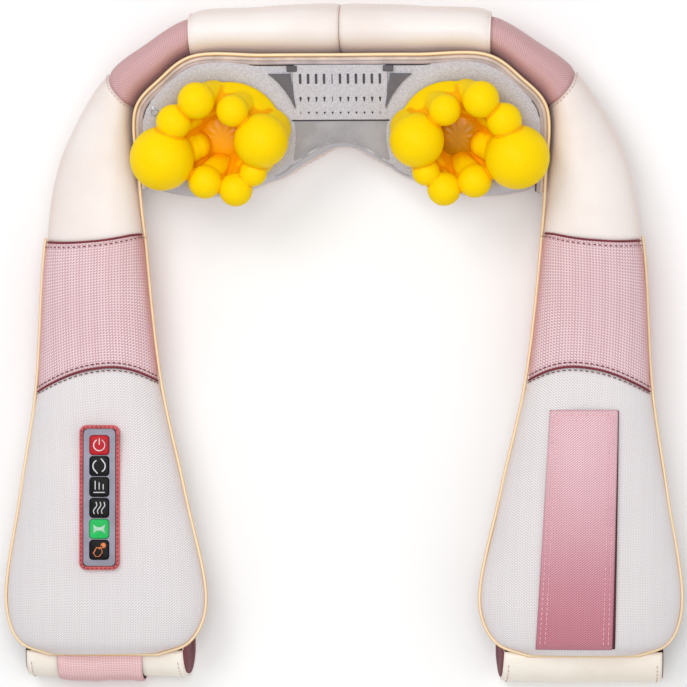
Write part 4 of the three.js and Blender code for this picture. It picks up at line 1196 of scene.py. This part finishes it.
def pouch_front(x, y):
    """Height of the pouch's front at a place, in metres."""
    low_place, high_place = POUCH - 0.2, BOTTOM - 0.01
    for _ in range(24):
        place = (low_place + high_place) / 2
        level = (outer_edge(place)[1] + inner_edge(place)[1]) / 2
        low_place, high_place = (place, high_place) if level > y else (low_place, place)
    outer, inner = outer_edge(place), inner_edge(place)
    _, low, high = levels(place)
    u = np.clip((x - (outer[0] + inner[0]) / 2) / (abs(outer[0] - inner[0]) / 2), -1, 1)
    power = squareness(place)
    rise = (1 - abs(u) ** power) ** (1 / power) * (high - low) / 2
    return ((low + high) / 2 + rise) * MM


def strap_point(across, down):
    inner_x = STRAP_EDGES[0][0] + (STRAP_EDGES[1][0] - STRAP_EDGES[0][0]) * down
    outer_x = STRAP_EDGES[0][1] + (STRAP_EDGES[1][1] - STRAP_EDGES[0][1]) * down
    x = inner_x + (outer_x - inner_x) * across
    y = STRAP_TOP + (STRAP_BOTTOM - STRAP_TOP) * down
    puff = 1.2 * math.sin(math.pi * min(down * 1.02, 1)) * (0.4 + 0.6 * across)
    return Vector((x * MM, y * MM + SHIFT, pouch_front(x, y) + puff * MM))


rings = []
for row in range(61):
    down = row / 60
    tops = [strap_point(a, down) for a in np.linspace(0, 1, 25)]
    edge = 0.5 if row in (0, 60) else 1
    ring = [t + Vector((0, 0, STRAP_CLOTH * edge * (0.72 + 0.28 * math.sin(math.pi * k / 24) ** 0.4)))
            for k, t in enumerate(tops)]
    ring += [t + Vector((0, 0, 0.2 * MM)) for t in reversed(tops)]
    rings.append([tuple(p) for p in ring])
strap = grid_skin("front_strap", rings)
fit(strap, STRAP, "right_arm", "front_strap_right")
# A dark strip under the strap, showing past its outer edge and widening downwards: painted shadow of the strap
# standing proud.
rings = []
for row in range(41):
    tops = [strap_point(a, 0.004 + row / 40 * 0.992) for a in np.linspace(0.1, 1.0, 9)]
    gap = 0.5 + 1.5 * row / 40
    tops[-1] += Vector((gap * MM, 0, 0))
    ring = [t + Vector((0, 0, 0.9 * MM)) for t in tops]
    ring += [t - Vector((0, 0, 0.6 * MM)) for t in reversed(tops)]
    rings.append([tuple(p) for p in ring])
backing = fit(grid_skin("strap_shadow_strip", rings), STRAP_SHADOW_DARK, "right_arm")
strap_rows = []
lift = Vector((0, 0, STRAP_CLOTH))
for across in (0.055, 0.12, 0.88, 0.945):
    strap_rows.append(stitches("row", [strap_point(across, d) + lift for d in np.linspace(0.02, 0.985, 60)]))
for down in (0.02, 0.045):
    strap_rows.append(stitches("row", [strap_point(a, down) + lift for a in np.linspace(0.06, 0.94, 20)]))
fit(join_objects("strap_stitching", strap_rows), STRAP_THREAD, "right_arm")

# ---- Seams ----
def seam_path(side, place_of, inset, first=4, last=176, steps=80):
    return [surface_point(place_of(math.cos(a)), a, inset, side)
            for a in np.linspace(math.radians(first), math.radians(last), steps)]


for name, side in SIDES:
    arm = f"{name}_arm"
    groove = tube(f"pouch_groove_{name}", seam_path(side, lambda u: POUCH + pouch_bow(u), 1.0), 0.75 * MM, 8)
    fit(groove, THREAD, arm)
    rows = [stitches("row", seam_path(side, lambda u: POUCH + pouch_bow(u) + beside, inset),
                     2.6 * MM, gap * MM, radius * MM)
            for beside, inset, gap, radius in ((-0.03, 0.1, 1.2, 0.42), (0.022, 0.7, 1.4, 0.35))]
    fit(join_objects(f"pouch_seam_{name}", rows), SEAM_THREAD, arm)
    shoulder_line = seam_path(side, lambda u: BAND + band_top_bow(u), 1.1)
    groove = tube(f"shoulder_groove_{name}", shoulder_line, 0.7 * MM, 8)
    fit(groove, THREAD, "root")
    row = stitches(f"shoulder_seam_{name}", seam_path(side, lambda u: BAND + band_top_bow(u) + 0.035, 0.0),
                   2.2 * MM, 1.6 * MM, 0.35 * MM)
    fit(row, SEAM_THREAD, "root")
    row = stitches(f"wedge_seam_{name}", seam_path(side, lambda u: SHOULDER + wedge_bow(u) + 0.03, 0.3),
                   2.0 * MM, 1.2 * MM, 0.28 * MM)
    fit(row, PALE_THREAD, "root")
    fold_line = seam_path(side, lambda u: WEDGE - 0.012, -1.0, -35, 215, 120)
    fold = tube(f"neck_fold_{name}", fold_line, 0.9 * MM, 8)
    fit(fold, CREAM, "root")

# ---- CAD pieces that stay ----
FINISHES = {
    "foam": FOAM, "casing_plastic": CASING, "steel": STEEL, "brass": BRASS, "nylon": NYLON, "circuit": BOARD,
}
for row in frame["record"]["subparts"]:
    if row["material_slot"] in FINISHES:
        dress(frame["nodes"][row["node"]], FINISHES[row["material_slot"]])

# ---- Studio ----
FLOOR_HALF, FLOOR_LEVEL = 3, -0.0002
floor_corners = [(x * FLOOR_HALF, y * FLOOR_HALF, FLOOR_LEVEL)
                 for x, y in ((-1, -1), (1, -1), (1, 1), (-1, 1))]
floor = new_object("floor", floor_corners, [(0, 1, 2, 3)], False)
dress(floor, plain("floor_paint", (253, 253, 253), 0.8, 40, variation=0.01, bump=0.0))

world = bpy.data.worlds.new("studio")
bpy.context.scene.world = world
world.use_nodes = True
background = world.node_tree.nodes["Background"]
background.inputs["Color"].default_value = (1, 1, 1, 1)
background.inputs["Strength"].default_value = 0.6


def softbox(name, place, aim, size, power):
    data = bpy.data.lights.new(name, "AREA")
    data.size = size
    data.energy = power
    obj = bpy.data.objects.new(name, data)
    bpy.context.scene.collection.objects.link(obj)
    obj.location = place
    direction = Vector(aim) - Vector(place)
    obj.rotation_euler = direction.to_track_quat("-Z", "Y").to_euler()


softbox("key", (-0.55, 0.6, 1.4), (0, 0, 0.04), 0.6, 6)
softbox("fill", (0.9, -0.5, 1.1), (0, 0, 0.04), 0.9, 1.5)
softbox("top", (0.05, 0.05, 1.9), (0, 0, 0), 0.8, 10)

bpy.context.scene.view_settings.view_transform = "Standard"
